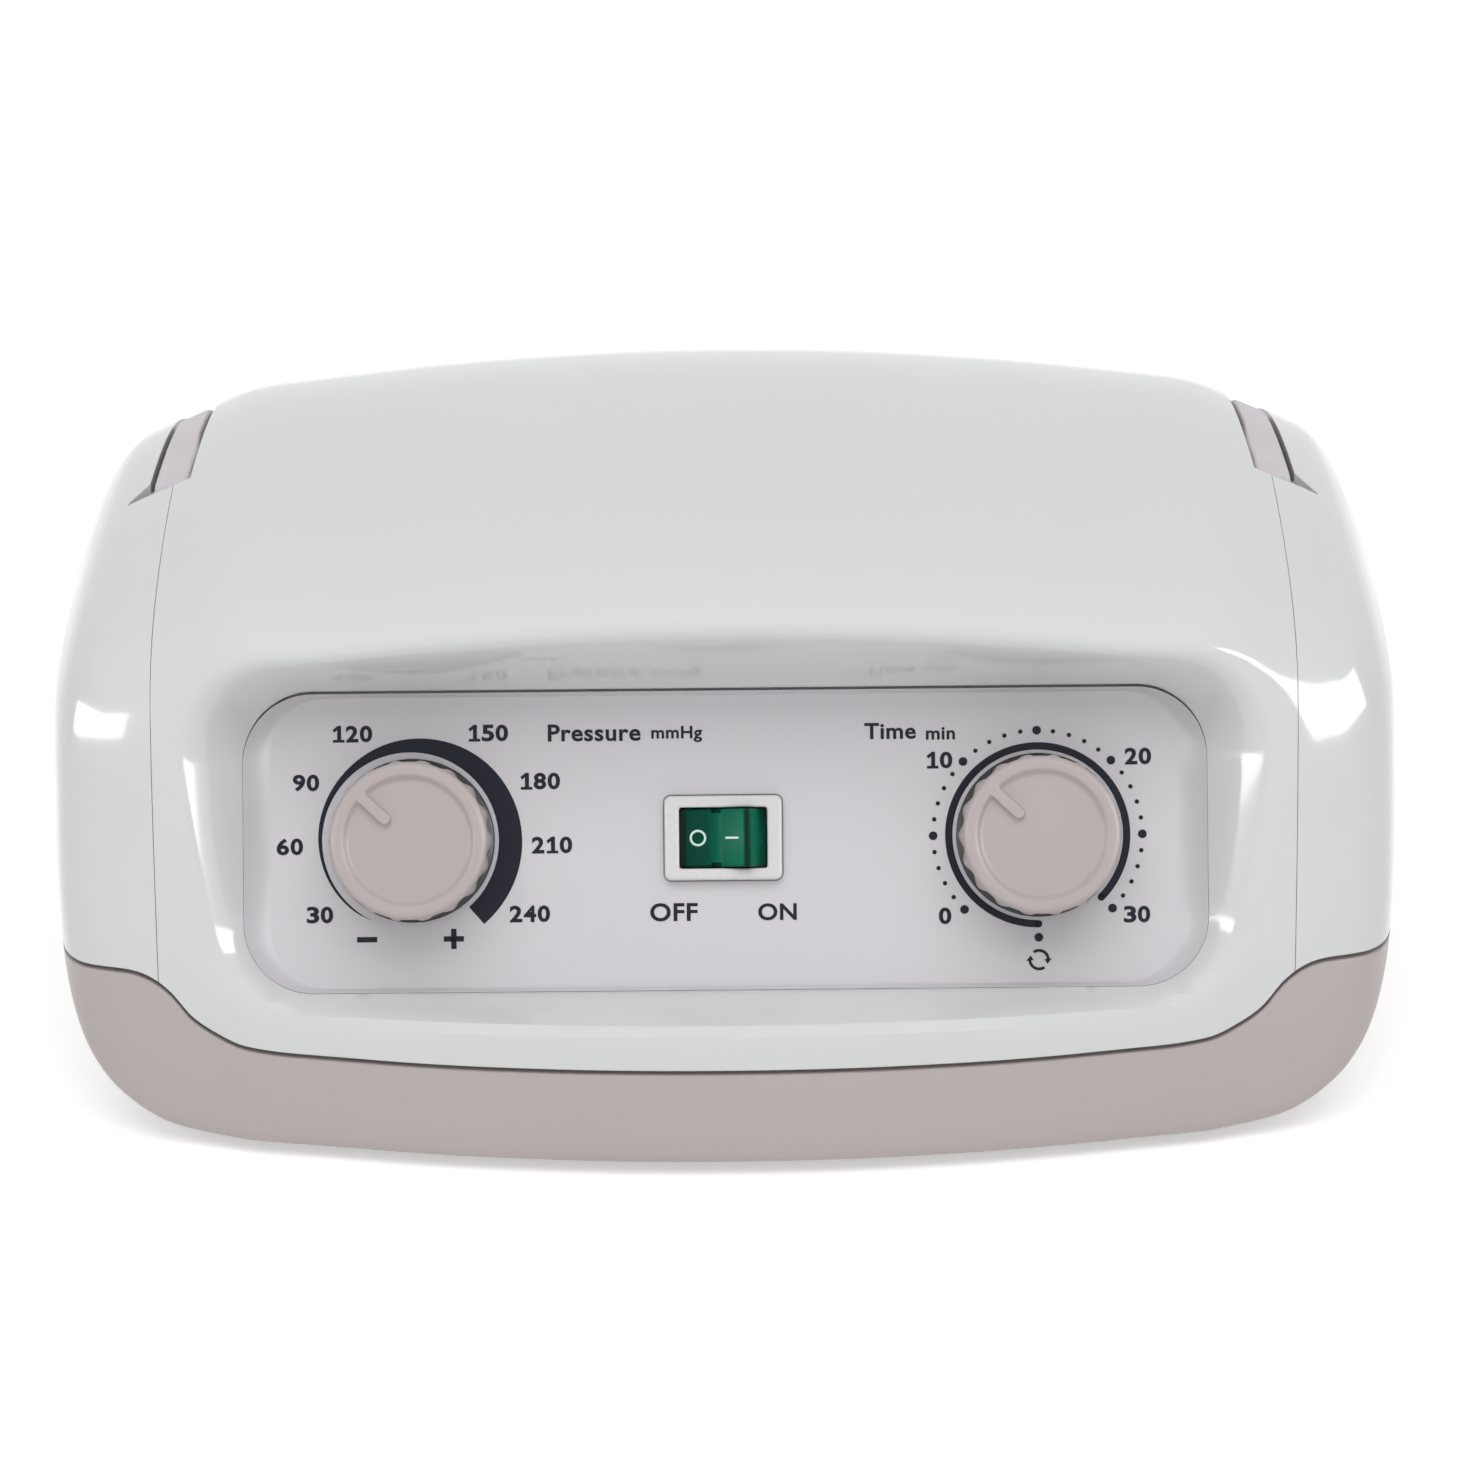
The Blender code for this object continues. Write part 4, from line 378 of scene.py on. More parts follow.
# Finishes by material slot, then the two inks. Drift is a noise scale and the share by which the colour
# changes, rough_drift a scale and the two ends, bump a scale and a depth, light_bands two places along X
# and the stops of painted light and shade between them
FINISHES = {
    "white_gloss": dict(colour=(0.652, 0.658, 0.662), rough=0.14, coat=0.3, edges=0.0003,
                        drift=(9.0, 0.010), rough_drift=(60.0, 0.10, 0.16)),
    "base_grey": dict(colour=(0.462, 0.412, 0.404), rough=0.34, edges=0.0006, drift=(11.0, 0.012),
                      rough_drift=(400.0, 0.31, 0.36), bump=(2600.0, 0.000006)),
    "panel_lavender": dict(colour=(0.610, 0.592, 0.622), rough=0.42, drift=(14.0, 0.010),
                           bump=(3800.0, 0.000004)),
    "knob_beige": dict(colour=(0.440, 0.388, 0.382), rough=0.45, edges=0.00025, drift=(30.0, 0.015),
                       bump=(4200.0, 0.000008)),
    "handle_grey": dict(colour=(0.600, 0.560, 0.590), rough=0.38, edges=0.0005, drift=(20.0, 0.015),
                        bump=(3000.0, 0.000008)),
    "black_plastic": dict(colour=(0.020, 0.020, 0.024), rough=0.40, edges=0.0002,
                          rough_drift=(200.0, 0.34, 0.48), bump=(3500.0, 0.000008)),
    "light_plastic": dict(colour=(0.660, 0.655, 0.650), rough=0.28, edges=0.0003,
                          drift=(25.0, 0.012), rough_drift=(150.0, 0.24, 0.34)),
    # The rocker's colour is painted light and shade in bands along X, over its own clear green
    "rocker_green": dict(colour=(0.002, 0.105, 0.062), rough=0.30, specular=0.06, edges=0.0002,
                         rough_drift=(300.0, 0.24, 0.36), light_bands=(-0.0082, 0.0074, ROCKER_PAINTED_LIGHT)),
    "rear_plate_grey": dict(colour=(0.420, 0.378, 0.362), rough=0.55, edges=0.0003,
                            drift=(40.0, 0.02), bump=(2200.0, 0.00002)),
    "foot_rubber": dict(colour=(0.045, 0.045, 0.047), rough=0.75, edges=0.0003,
                        drift=(120.0, 0.12), bump=(1800.0, 0.00003)),
    "hose_rubber": dict(colour=(0.62, 0.64, 0.62), rough=0.35, drift=(80.0, 0.03)),
    "steel": dict(colour=(0.62, 0.62, 0.63), rough=0.28, metallic=1.0, edges=0.0002,
                  rough_drift=(500.0, 0.2, 0.4)),
    "laminated_iron": dict(colour=(0.30, 0.31, 0.32), rough=0.5, metallic=0.8, edges=0.0002,
                           rough_drift=(300.0, 0.4, 0.6)),
    "copper": dict(colour=(0.62, 0.28, 0.13), rough=0.35, metallic=0.9, rough_drift=(300.0, 0.3, 0.45)),
    "board_green": dict(colour=(0.03, 0.20, 0.09), rough=0.45, drift=(300.0, 0.10)),
    "brass_yellow": dict(colour=(0.66, 0.50, 0.20), rough=0.3, metallic=0.9, edges=0.0002,
                         rough_drift=(300.0, 0.25, 0.4)),
    "transformer_tape": dict(colour=(0.70, 0.55, 0.08), rough=0.5, drift=(200.0, 0.06)),
    "navy_ink": dict(colour=(0.012, 0.013, 0.024), rough=0.60, specular=0.2, drift=(60.0, 0.04),
                     rough_drift=(300.0, 0.40, 0.52)),
    "white_mark": dict(colour=(0.56, 0.72, 0.66), rough=0.40, rough_drift=(400.0, 0.36, 0.46))}
MATS = {name: Finish(name, **values).mat for name, values in FINISHES.items()}


# Camera, light and floor

def make_camera():
    """The photograph's view, worked out from where the panel's middle lies in it."""
    look = Vector((0.0, math.cos(VIEW_TILT), -math.sin(VIEW_TILT)))
    up = Vector((0.0, math.sin(VIEW_TILT), math.cos(VIEW_TILT)))
    right = Vector((1.0, 0.0, 0.0))
    right, up = (right * math.cos(VIEW_ROLL) + up * math.sin(VIEW_ROLL),
                 up * math.cos(VIEW_ROLL) - right * math.sin(VIEW_ROLL))
    shift_x = (PANEL_X_PX - PHOTO_WIDTH_PX / 2) / PX_PER_METRE
    shift_y = (PANEL_Y_PX - PHOTO_HEIGHT_PX / 2) / PX_PER_METRE
    data = bpy.data.cameras.new("camera")
    data.sensor_width = SENSOR_MM
    data.lens = PX_PER_METRE * VIEW_DISTANCE / PHOTO_HEIGHT_PX * SENSOR_MM
    camera = bpy.data.objects.new("camera", data)
    place = Matrix((right, up, -look)).transposed().to_4x4()
    place.translation = PANEL_ORIGIN - look * VIEW_DISTANCE - right * shift_x + up * shift_y
    camera.matrix_world = place
    bpy.context.scene.collection.objects.link(camera)
    bpy.context.scene.camera = camera


WORLD_LIGHT = 0.53
BACKDROP = 1.0
FLOOR_REACH = 3.0
FLOOR_COLOUR = 0.88
FLOOR_LIFT = 0.42


def seen_directly(tree):
    """1 for rays that show the surroundings: from the camera, and by mirror or through glass."""
    path = tree.nodes.new("ShaderNodeLightPath")
    total = path.outputs["Is Camera Ray"]
    for name in ("Is Glossy Ray", "Is Transmission Ray"):
        total = math_node(tree, "MAXIMUM", total, path.outputs[name])
    return total


def math_node(tree, operation, first, second):
    """The result of a sum on a linked value and a second one, linked or plain."""
    node = tree.nodes.new("ShaderNodeMath")
    node.operation = operation
    tree.links.new(first, node.inputs[0])
    if isinstance(second, float):
        node.inputs[1].default_value = second
    else:
        tree.links.new(second, node.inputs[1])
    return node.outputs["Value"]


def blend_shaders(tree, kind, first, second, end):
    """Joins two shaders into an end node, mixed or added, and gives the joining node."""
    node = tree.nodes.new(kind)
    shaders = [socket for socket in node.inputs if socket.type == "SHADER"]
    for source, socket in zip((first, second), shaders):
        tree.links.new(source, socket)
    tree.links.new(node.outputs["Shader"], end.inputs["Surface"])
    return node


def make_world():
    """Even pale light, with pure white where the object's surroundings are seen."""
    world = bpy.data.worlds.new("studio")
    world.use_nodes = True
    tree = world.node_tree
    shades = [tree.nodes["Background"], tree.nodes.new("ShaderNodeBackground")]
    for shade, strength in zip(shades, (WORLD_LIGHT, BACKDROP)):
        shade.inputs["Color"].default_value = (1.0, 1.0, 1.0, 1.0)
        shade.inputs["Strength"].default_value = strength
    dim, bright = (shade.outputs["Background"] for shade in shades)
    mix = blend_shaders(tree, "ShaderNodeMixShader", dim, bright, tree.nodes["World Output"])
    tree.links.new(seen_directly(tree), mix.inputs["Fac"])
    bpy.context.scene.world = world


def make_floor():
    """A plain pale floor, lifted to white where it is seen, with the object's soft shadow on it."""
    mat = bpy.data.materials.new("floor_white")
    mat.use_nodes = True
    tree = mat.node_tree
    shader = tree.nodes["Principled BSDF"]
    shader.inputs["Base Color"].default_value = (FLOOR_COLOUR, FLOOR_COLOUR, FLOOR_COLOUR, 1.0)
    shader.inputs["Roughness"].default_value = 1.0
    shader.inputs["Specular IOR Level"].default_value = 0.0
    glow = tree.nodes.new("ShaderNodeEmission")
    tree.links.new(math_node(tree, "MULTIPLY", seen_directly(tree), FLOOR_LIFT), glow.inputs["Strength"])
    blend_shaders(tree, "ShaderNodeAddShader", shader.outputs["BSDF"], glow.outputs["Emission"],
                  tree.nodes["Material Output"])
    corners = [(x * FLOOR_REACH, y * FLOOR_REACH, 0.0) for x, y in ((-1, -1), (1, -1), (1, 1), (-1, 1))]
    floor = to_object("floor", mesh_of("floor", lambda shape: shape.faces.new(
        [shape.verts.new(corner) for corner in corners])), mat)


# Lamps: name, azimuth from the front and elevation in degrees, distance, width, height, radiance
LAMPS = [("key", 0.0, 61.0, 1.45, 1.60, 0.90, 2.4), ("front_fill", 0.0, 6.0, 1.80, 2.00, 1.00, 0.80)]
# Windows, seen in the gloss only: the same values, then the roll in degrees
WINDOWS = [("left_window", -74.0, 9.0, 1.30, 1.40, 0.25, 8.0, 14.0),
           ("right_window", 63.0, 18.0, 1.30, 1.15, 0.50, 8.0, 0.0)]
LIT_POINT = Vector((0.0, 0.0, 0.06))


def add_lamp(name, azimuth, elevation, distance, width, height, radiance, roll=0.0):
    """A rectangular soft box that faces the object."""
    turn, lift = math.radians(azimuth), math.radians(elevation)
    away = Vector((math.sin(turn) * math.cos(lift), -math.cos(turn) * math.cos(lift), math.sin(lift)))
    data = bpy.data.lights.new(name, "AREA")
    data.shape = "RECTANGLE"
    data.size, data.size_y = width, height
    data.energy = radiance * math.pi * width * height
    lamp = bpy.data.objects.new(name, data)
    aim = away.to_track_quat("Z", "Y").to_matrix().to_4x4() @ Matrix.Rotation(math.radians(roll), 4, "Z")
    lamp.matrix_world = Matrix.Translation(LIT_POINT + away * distance) @ aim
    bpy.context.scene.collection.objects.link(lamp)
    return lamp


def make_lights():
    """Soft boxes above and before the object, and a window at each side."""
    for values in LAMPS:
        add_lamp(*values).visible_glossy = False
    for values in WINDOWS:
        add_lamp(*values).visible_diffuse = False


# The case

def spline_loop(shares, count):
    """Points round a closed, smooth cubic curve, as an array."""
    controls = np.array(shares)
    u = np.arange(count) * len(controls) / count
    i = np.floor(u).astype(int)
    t = (u - i)[:, None]
    blend = ((1 - t) ** 3 / 6, (3 * t ** 3 - 6 * t ** 2 + 4) / 6,
             (-3 * t ** 3 + 3 * t ** 2 + 3 * t + 1) / 6, t ** 3 / 6)
    return sum(w * controls[(i + k) % len(controls)] for k, w in enumerate(blend))


def profile(count):
    """The middle section, each of its two shares filling 0 to 1, with most points near the brow."""
    points = spline_loop(PROFILE_SHARES, count * PROFILE_STEPS)
    low, high = points.min(axis=0), points.max(axis=0)
    shares = (points - low) / (high - low)
    away = np.linalg.norm(shares - BROW_SPOT_SHARES, axis=1) / BROW_REACH_SHARE
    density = np.cumsum(1 + BROW_DENSITY * np.exp(-away ** 2))
    return shares[np.searchsorted(density / density[-1], np.arange(count) / count, side="right")]


def smooth_table(table, x):
    """Reads a table of (x, values...) rows along a smooth curve through its rows."""
    last = len(table) - 1
    i = max(k for k in range(last) if table[k][0] <= x or k == 0)
    rows = np.array([table[max(0, min(last, k))] for k in (i - 1, i, i + 1, i + 2)])
    span = rows[2][0] - rows[1][0]
    t = min(1.0, max(0.0, (x - rows[1][0]) / span))
    rise_in = (rows[2] - rows[0]) / (rows[2][0] - rows[0][0]) * span if i > 0 else rows[0] * 0.0
    rise_out = (rows[3] - rows[1]) / (rows[3][0] - rows[1][0]) * span
    value = ((2 * t ** 3 - 3 * t ** 2 + 1) * rows[1] + (t ** 3 - 2 * t ** 2 + t) * rise_in
             + (-2 * t ** 3 + 3 * t ** 2) * rows[2] + (t ** 3 - t ** 2) * rise_out)
    return value[1:]


def section(x, points, inset=0.0):
    """One section of the case, drawn in by a wall where one is given."""
    drop, rise, front, rear = smooth_table(SECTION_SHARES, min(1.0, abs(x) / (WIDTH / 2)))
    low = np.array([-DEPTH / 2 + front * DEPTH, FOOT_HEIGHT + rise * BODY_HEIGHT]) + inset
    high = np.array([DEPTH / 2 - rear * DEPTH, HEIGHT - drop * BODY_HEIGHT]) - inset
    flat = low + points * (high - low)
    return np.column_stack((np.full(len(points), x), flat))


def case_rings(count, sections, inset=0.0):
    """Sections across the case, closer together towards its ends."""
    points = profile(count)
    reach = WIDTH / 2 - inset
    return [section(reach * math.sin(math.pi / 2 * k / sections), points, inset)
            for k in range(-sections, sections + 1)]


def surround_height(across, up):
    """Height of the flared surround over the panel's plane, and its softness, at places there."""
    cx = np.abs(across) - (PANEL_WIDTH / 2 - PANEL_CORNER)
    cy = np.abs(up) - (PANEL_HEIGHT / 2 - PANEL_CORNER)
    out = np.hypot(np.maximum(cx, 0), np.maximum(cy, 0))
    distance = out + np.minimum(np.maximum(cx, cy), 0) - PANEL_CORNER
    in_corner = np.maximum(cx, 0) / np.where(out > 0, out, 1.0)
    share_x = np.where(out > 0, in_corner, np.where(cx > cy, 1.0, 0.0)) ** 2
    slopes = {key: math.tan(angle) for key, angle in SURROUND_SLOPES.items()}
    outward = np.minimum(np.abs(across) / (PANEL_WIDTH / 2), 1.0)
    arched = slopes["top"] * (1 - SURROUND_ARCH_SHARE * outward ** 2)
    slope = np.where(up > 0, arched, slopes["foot"]) * (1 - share_x) + slopes["side"] * share_x
    soft = np.where(up > 0, SURROUND_SOFT["top"], SURROUND_SOFT["foot"]) * (1 - share_x)
    return np.maximum(distance / slope, -SURROUND_PIT), soft + SURROUND_SOFT["side"] * share_x


def flare(ring):
    """Sinks a ring of the case into the surround, square to the panel, with soft brows."""
    turn = np.array(TO_PANEL)
    local = ring @ turn[:3, :3].T + turn[:3, 3]
    height, soft = surround_height(local[:, 0], local[:, 1])
    gap = np.maximum(1 - np.abs(local[:, 2] - height) / soft, 0)
    lower = np.minimum(local[:, 2], height) - soft * gap ** 3 / 6
    facing = (local[:, 2] > -SURROUND_PIT) & (ring[:, 1] < 0)
    local[:, 2] = np.where(facing, lower, local[:, 2])
    back = np.array(TO_WORLD)
    return local @ back[:3, :3].T + back[:3, 3]


def skin_mesh(name, rings):
    """The case's outer skin as one closed mesh, made from arrays."""
    count, rows = len(rings[0]), len(rings)
    points = np.concatenate(rings)
    mesh = bpy.data.meshes.new(name)
    index = np.arange(rows * count).reshape(rows, count)
    ahead = np.roll(index, -1, axis=1)
    quads = np.stack((index[:-1], index[1:], ahead[1:], ahead[:-1]), axis=-1).reshape(-1, 4)
    mesh.from_pydata(points.tolist(), [], quads.tolist() + [index[0][::-1].tolist(), index[-1].tolist()])
    shape = bmesh.new()
    shape.from_mesh(mesh)
    bmesh.ops.recalc_face_normals(shape, faces=shape.faces)
    shape.to_mesh(mesh)
    shape.free()
    return mesh


def seam_outline(shift, side):
    """The joint line across the case, then round its upper (+1) or lower (-1) side."""
    half = []
    for k in range(SEAM_STEPS + 1):
        share = SEAM_SHARES[-1][0] * k / SEAM_STEPS
        height = FOOT_HEIGHT + smooth_table(SEAM_SHARES, share)[0] * BODY_HEIGHT
        half.append((share * WIDTH / 2, height + shift))
    whole = [(-x, z) for x, z in reversed(half[1:])] + half
    far = HEIGHT + OVERRUN if side > 0 else -OVERRUN
    return whole + [(half[-1][0], far), (-half[-1][0], far)]


# Handle grooves
ARM_WIDTH = 0.0064
ARM_X = 0.1019
ARM_LEAN = 0.0030
GROOVE_FRONT = -0.0158
GROOVE_GAP = 0.0009
GROOVE_FLOOR = 0.0886
GROOVE_WALL = 0.0022
BEND_ROOM = 0.0075
PIVOT_Y = -0.0088
PIVOT_Z = 0.0974
PIVOT_RADIUS = 0.0020
ARM_END_RADIUS = 0.0058
SWING_RUN = 0.0085
SWING_BLEND = 0.0060
ARM_FLUSH = 0.0290
BAR_Y = 0.0620
BAR_DEPTH = 0.0110
BAR_CORNER = 0.0170
BAR_TOP = 0.0978
BAR_SAG = 0.0036
BAR_THICKNESS = 0.0050
LEDGE_FRONT = 0.0528
POCKET_LENGTH = 0.0060
POCKET_WIDTH = 0.0036
POCKET_DEPTH = 0.0060


def arm_line(y):
    """The middle of the right arm, leaning in towards the rear."""
    return ARM_X - ARM_LEAN * (y - GROOVE_FRONT) / (BAR_Y - GROOVE_FRONT)


def arm_strip(grow):
    """Corners of the right groove in plan, widened by an amount and opened out at the bend."""
    half = ARM_WIDTH / 2 + GROOVE_GAP + grow
    front, bend, rear = GROOVE_FRONT - grow, BAR_Y - BAR_CORNER, LEDGE_FRONT + GROOVE_WALL
    return [(arm_line(front) - half, front), (arm_line(front) + half, front),
            (arm_line(rear) + half, rear), (arm_line(rear) - half - BEND_ROOM, rear),
            (arm_line(bend) - half, bend)]


def pocket_strip(grow):
    """Corners of the wedge beside the right arm's front end, in plan."""
    inner = arm_line(GROOVE_FRONT) + ARM_WIDTH / 2 + GROOVE_GAP - GROOVE_WALL / 2
    front = GROOVE_FRONT - grow
    outer = inner + GROOVE_WALL / 2 + POCKET_WIDTH + grow
    rear = GROOVE_FRONT + POCKET_LENGTH + grow
    return [(inner, front), (outer, front), (outer, front + grow + SLACK), (inner, rear)]


def groove_cuts(grow=0.0):
    """Arm grooves, their front pockets and the ledge behind the dome, as cuts."""
    top = HEIGHT + OVERRUN
    edge = arm_line(LEDGE_FRONT) + ARM_WIDTH / 2 + GROOVE_GAP + grow
    cuts = [box("ledge", (-edge, LEDGE_FRONT - grow, GROOVE_FLOOR - grow), (edge, DEPTH / 2, top))]
    strips = ((arm_strip(grow), GROOVE_FLOOR), (pocket_strip(grow), PIVOT_Z - POCKET_DEPTH / 2))
    for strip, floor in strips:
        cuts.append(prism("groove", strip, floor - grow, top))
        cuts.append(prism("groove", [(-x, y) for x, y in reversed(strip)], floor - grow, top))
    return cuts


def panel_mouth():
    """The opening round the panel as a cut, its top edge raised by a gap."""
    half = PANEL_HEIGHT / 2
    rings = [rounded(PANEL_WIDTH / 2, half, PANEL_CORNER, z) for z in (-INNER_WALL * 2, OVERRUN)]
    raised = [[(x, y + TRAY_TOP_GAP * max(0.0, y / half) ** 2, z) for x, y, z in ring] for ring in rings]
    return put(loft("panel_mouth", raised), TO_WORLD)


# Rear recess
REAR_LOW_CORNER, REAR_HIGH_CORNER = low_high("rear_panel")
REAR_Y = REAR_HIGH_CORNER.y
REAR_HALF_X = REAR_HIGH_CORNER.x
REAR_HALF_Z = (REAR_HIGH_CORNER.z - REAR_LOW_CORNER.z) / 2
REAR_MIDDLE_Z = (REAR_HIGH_CORNER.z + REAR_LOW_CORNER.z) / 2
REAR_CORNER = 0.0060


def rear_recess(grow, front):
    """The set-back place of the rear panel."""
    ring = rounded(REAR_HALF_X + grow, REAR_HALF_Z + grow, REAR_CORNER + grow, 0.0)
    return loft("rear_recess", [[(x, y, z + REAR_MIDDLE_Z) for x, z, _ in ring]
                                for y in (front, DEPTH / 2 + OVERRUN)])


ROOM_POINTS, ROOM_SECTIONS = 72, 20
SURROUND_CORNER_STEPS = 6


def case_room():
    """The room inside the case, kept clear of the surround, grooves and rear recess."""
    rings = case_rings(ROOM_POINTS, ROOM_SECTIONS, INNER_WALL)
    room = to_object("room", loft("room", [list(map(tuple, ring)) for ring in rings]))
    cuts = [surround_solid(INNER_WALL), *groove_cuts(GROOVE_WALL), rear_recess(WALL, REAR_Y - WALL)]
    mesh = carve(room, cuts).data
    bpy.data.objects.remove(room)
    return mesh


def surround_solid(grow):
    """A solid that fills the surround with a margin round it."""
    half_x, half_y, corner = PANEL_WIDTH / 2 + grow, PANEL_HEIGHT / 2 + grow, PANEL_CORNER + grow
    rings = []
    for depth in (-grow, 0.0, OVERRUN * 2):
        spread = {key: max(0.0, depth) * math.tan(angle) for key, angle in SURROUND_SLOPES.items()}
        ring = []
        for x, y, z in rounded(half_x, half_y, corner, depth, SURROUND_CORNER_STEPS):
            up = max(-1.0, min(1.0, y / (half_y - PANEL_CORNER)))
            side = max(-1.0, min(1.0, x / (half_x - PANEL_CORNER)))
            lean = spread["top"] if up > 0 else spread["foot"]
            ring.append((x + side * spread["side"], y + lean * up, z))
        rings.append(ring)
    return put(loft("surround", rings), TO_WORLD)


def make_case():
    """Centre cover, side covers and base tub from one smooth skin."""
    plain = case_rings(SKIN_POINTS, SKIN_SECTIONS)
    flared = skin_mesh("skin", [flare(ring) for ring in plain])
    room = case_room()
    far = DEPTH / 2 + OVERRUN
    inner = SPLIT + SPLIT_MARGIN
    outer = inner + SPLIT_GAP
    spans = {"centre_cover": (-inner, inner), "left_side_cover": (-WIDTH, -outer),
             "right_side_cover": (outer, WIDTH)}
    upper = prism("upper", seam_outline(SEAM_GAP / 2, 1), -far, far, "Y")
    for name, (left, right) in spans.items():
        region = box("region", (left, -far, -OVERRUN), (right, far, HEIGHT + OVERRUN))
        cuts = [room.copy(), *groove_cuts()]
        if name == "centre_cover":
            cuts += [panel_mouth(), rear_recess(SLACK / 2, REAR_Y - WALL - SLACK)]
        add_piece(name + "_shell", flared.copy(), "white_gloss", node=name, cuts=cuts,
                  keeps=[upper.copy(), region])
    lower = prism("lower", seam_outline(-SEAM_GAP / 2, -1), -far, far, "Y")
    add_piece("base_tub_shell", skin_mesh("tub", plain), "base_grey", node="base_tub", cuts=[room],
              keeps=[lower])


# Control panel
TRAY_FLOOR = -TRAY_DEPTH
TRAY_FLANGE = 0.0030
TRAY_STEPS = 14
BUSH_HOLE_RADIUS = 0.0053
KNOB_SPOTS = {"pressure": (-0.0558, 0.0004), "timer": (0.0558, 0.0004)}
SWITCH_SPOT = (-0.0004, 0.0004)
SWITCH_HOLE = (0.0186, 0.0138)
SWITCH_WIDE = 0.0210
SWITCH_HIGH = 0.0151
SWITCH_CORNER = 0.0012
BED_GAP = 0.00022
BED_DEPTH = 0.0008
SEAT = 0.0003


def make_tray():
    """The dished panel with its soft inner walls."""
    def ring(grow, height, side_run=0.0, top_run=0.0):
        return rounded(PANEL_WIDTH / 2 + grow - side_run, PANEL_HEIGHT / 2 + grow - top_run,
                       PANEL_CORNER + grow - (side_run + top_run) / 2, height)
    rings = [ring(TRAY_FLANGE, TRAY_FLOOR - TRAY_SHEET), ring(TRAY_FLANGE, -WALL - SEAT),
             ring(-TRAY_GAP, -WALL - SEAT), ring(-TRAY_GAP, -TRAY_GAP), ring(-TRAY_GAP * 2, 0.0)]
    for k in range(TRAY_STEPS + 1):
        share = k / TRAY_STEPS
        depth = TRAY_DEPTH * (1 - (1 - share) ** TRAY_CURVE)
        rings.append(ring(-TRAY_GAP * 3, -depth, TRAY_SIDE_RUN * share, TRAY_TOP_RUN * share))
    bush = [(BUSH_HOLE_RADIUS, TRAY_FLOOR * 2), (BUSH_HOLE_RADIUS, 0.0)]
    cuts = [put(turned("hole", bush), on_panel(*spot)) for spot in KNOB_SPOTS.values()]
    wide, high = SWITCH_HOLE[0] / 2, SWITCH_HOLE[1] / 2
    hole = box("hole", (-wide, -high, TRAY_FLOOR * 2), (wide, high, 0.0))
    wide, high = SWITCH_WIDE / 2 + BED_GAP, SWITCH_HIGH / 2 + BED_GAP
    bed = loft("bed", [rounded(wide, high, SWITCH_CORNER + BED_GAP, z)
                       for z in (TRAY_FLOOR - BED_DEPTH, 0.0)])
    cuts += [put(mesh, on_panel(*SWITCH_SPOT)) for mesh in (hole, bed)]
    add_piece("tray", put(loft("tray", rings), TO_WORLD), "panel_lavender", node="control_panel",
              crease=PANEL_CREASE, cuts=cuts)


# Knobs
KNOB_RADIUS = 0.0143
KNOB_SCALLOPS = 18
KNOB_SCALLOP_DEPTH = 0.0007
KNOB_LOW = -0.0010
KNOB_TOP = 0.0108
KNOB_EDGE = 0.0012
KNOB_EDGE_STEPS = 8
KNOB_TAPER = 0.0004
KNOB_SCALLOP_END = 0.0020
KNOB_RIM_INNER = 0.0119
KNOB_RIM_SLOPE = 0.0014
KNOB_DISH = 0.0012
KNOB_SOCKET = 0.0033
POINTER_HALF = 0.00105
POINTER_INNER = 0.0056
POINTER_SOFT = 0.00035
POINTER_MIDDLE_SHARE = 0.5
POINTER_ANGLE = math.radians(137.0)
SKIRT_RADIUS = 0.0146
SKIRT_HEIGHT = 0.0024
SKIRT_EDGE = 0.0003
SKIRT_STEPS = 180
KNOB_TURN_STEPS = 24
KNOB_FACE_STEPS = 64


def ease(share):
    """A soft step from 0 to 1."""
    share = min(1.0, max(0.0, share))
    return share * share * (3 - 2 * share)


def knob_face(radius, angle):
    """Height of the knob's face: a rim, a shallow dish and the raised pointer."""
    down = ease((KNOB_RIM_INNER - radius) / KNOB_RIM_SLOPE)
    height = KNOB_TOP - KNOB_DISH * down
    run = radius * math.cos(angle - POINTER_ANGLE)
    side = radius * math.sin(angle - POINTER_ANGLE)
    along = max(0.0, POINTER_INNER - run)
    distance = math.hypot(along, side) - POINTER_HALF
    lift = ease(POINTER_MIDDLE_SHARE - distance / POINTER_SOFT)
    return height + (KNOB_TOP - height) * lift


def wavy_ring(radius, waves, steps, depth, height):
    """Points round a circle with hollows; height is a value or a function of radius and angle."""
    ring = []
    for i in range(waves * steps):
        angle = math.tau * i / (waves * steps)
        r = radius - depth * (1 - math.cos(waves * angle)) / 2
        z = height(r, angle) if callable(height) else height
        ring.append((r * math.cos(angle), r * math.sin(angle), z))
    return ring


def knob_ring(radius, height, share):
    """One ring of the knob, with a share of its full scallops."""
    return wavy_ring(radius, KNOB_SCALLOPS, KNOB_TURN_STEPS, KNOB_SCALLOP_DEPTH * share, height)


def knob_mesh(name):
    """A scalloped knob with a rounded edge and its modelled face."""
    rings = [knob_ring(KNOB_SOCKET, KNOB_LOW, 0.0), knob_ring(KNOB_RADIUS - SKIRT_EDGE, KNOB_LOW, 1.0),
             knob_ring(KNOB_RADIUS, KNOB_LOW + SKIRT_EDGE, 1.0)]
    rim = KNOB_RADIUS - KNOB_TAPER
    for k in range(KNOB_EDGE_STEPS + 1):
        share = k / KNOB_EDGE_STEPS
        height = KNOB_TOP - KNOB_EDGE - KNOB_SCALLOP_END * (1 - share)
        rings.append(knob_ring(rim + KNOB_TAPER * (1 - share), height, 1 - ease(share)))
    for inward, below in quarter(KNOB_EDGE_STEPS, 1):
        rings.append(knob_ring(rim - KNOB_EDGE * inward, KNOB_TOP - KNOB_EDGE * below, 0.0))
    for k in range(1, KNOB_FACE_STEPS):
        rings.append(knob_ring((rim - KNOB_EDGE) * (1 - k / KNOB_FACE_STEPS), knob_face, 0.0))
    return loft(name, rings)


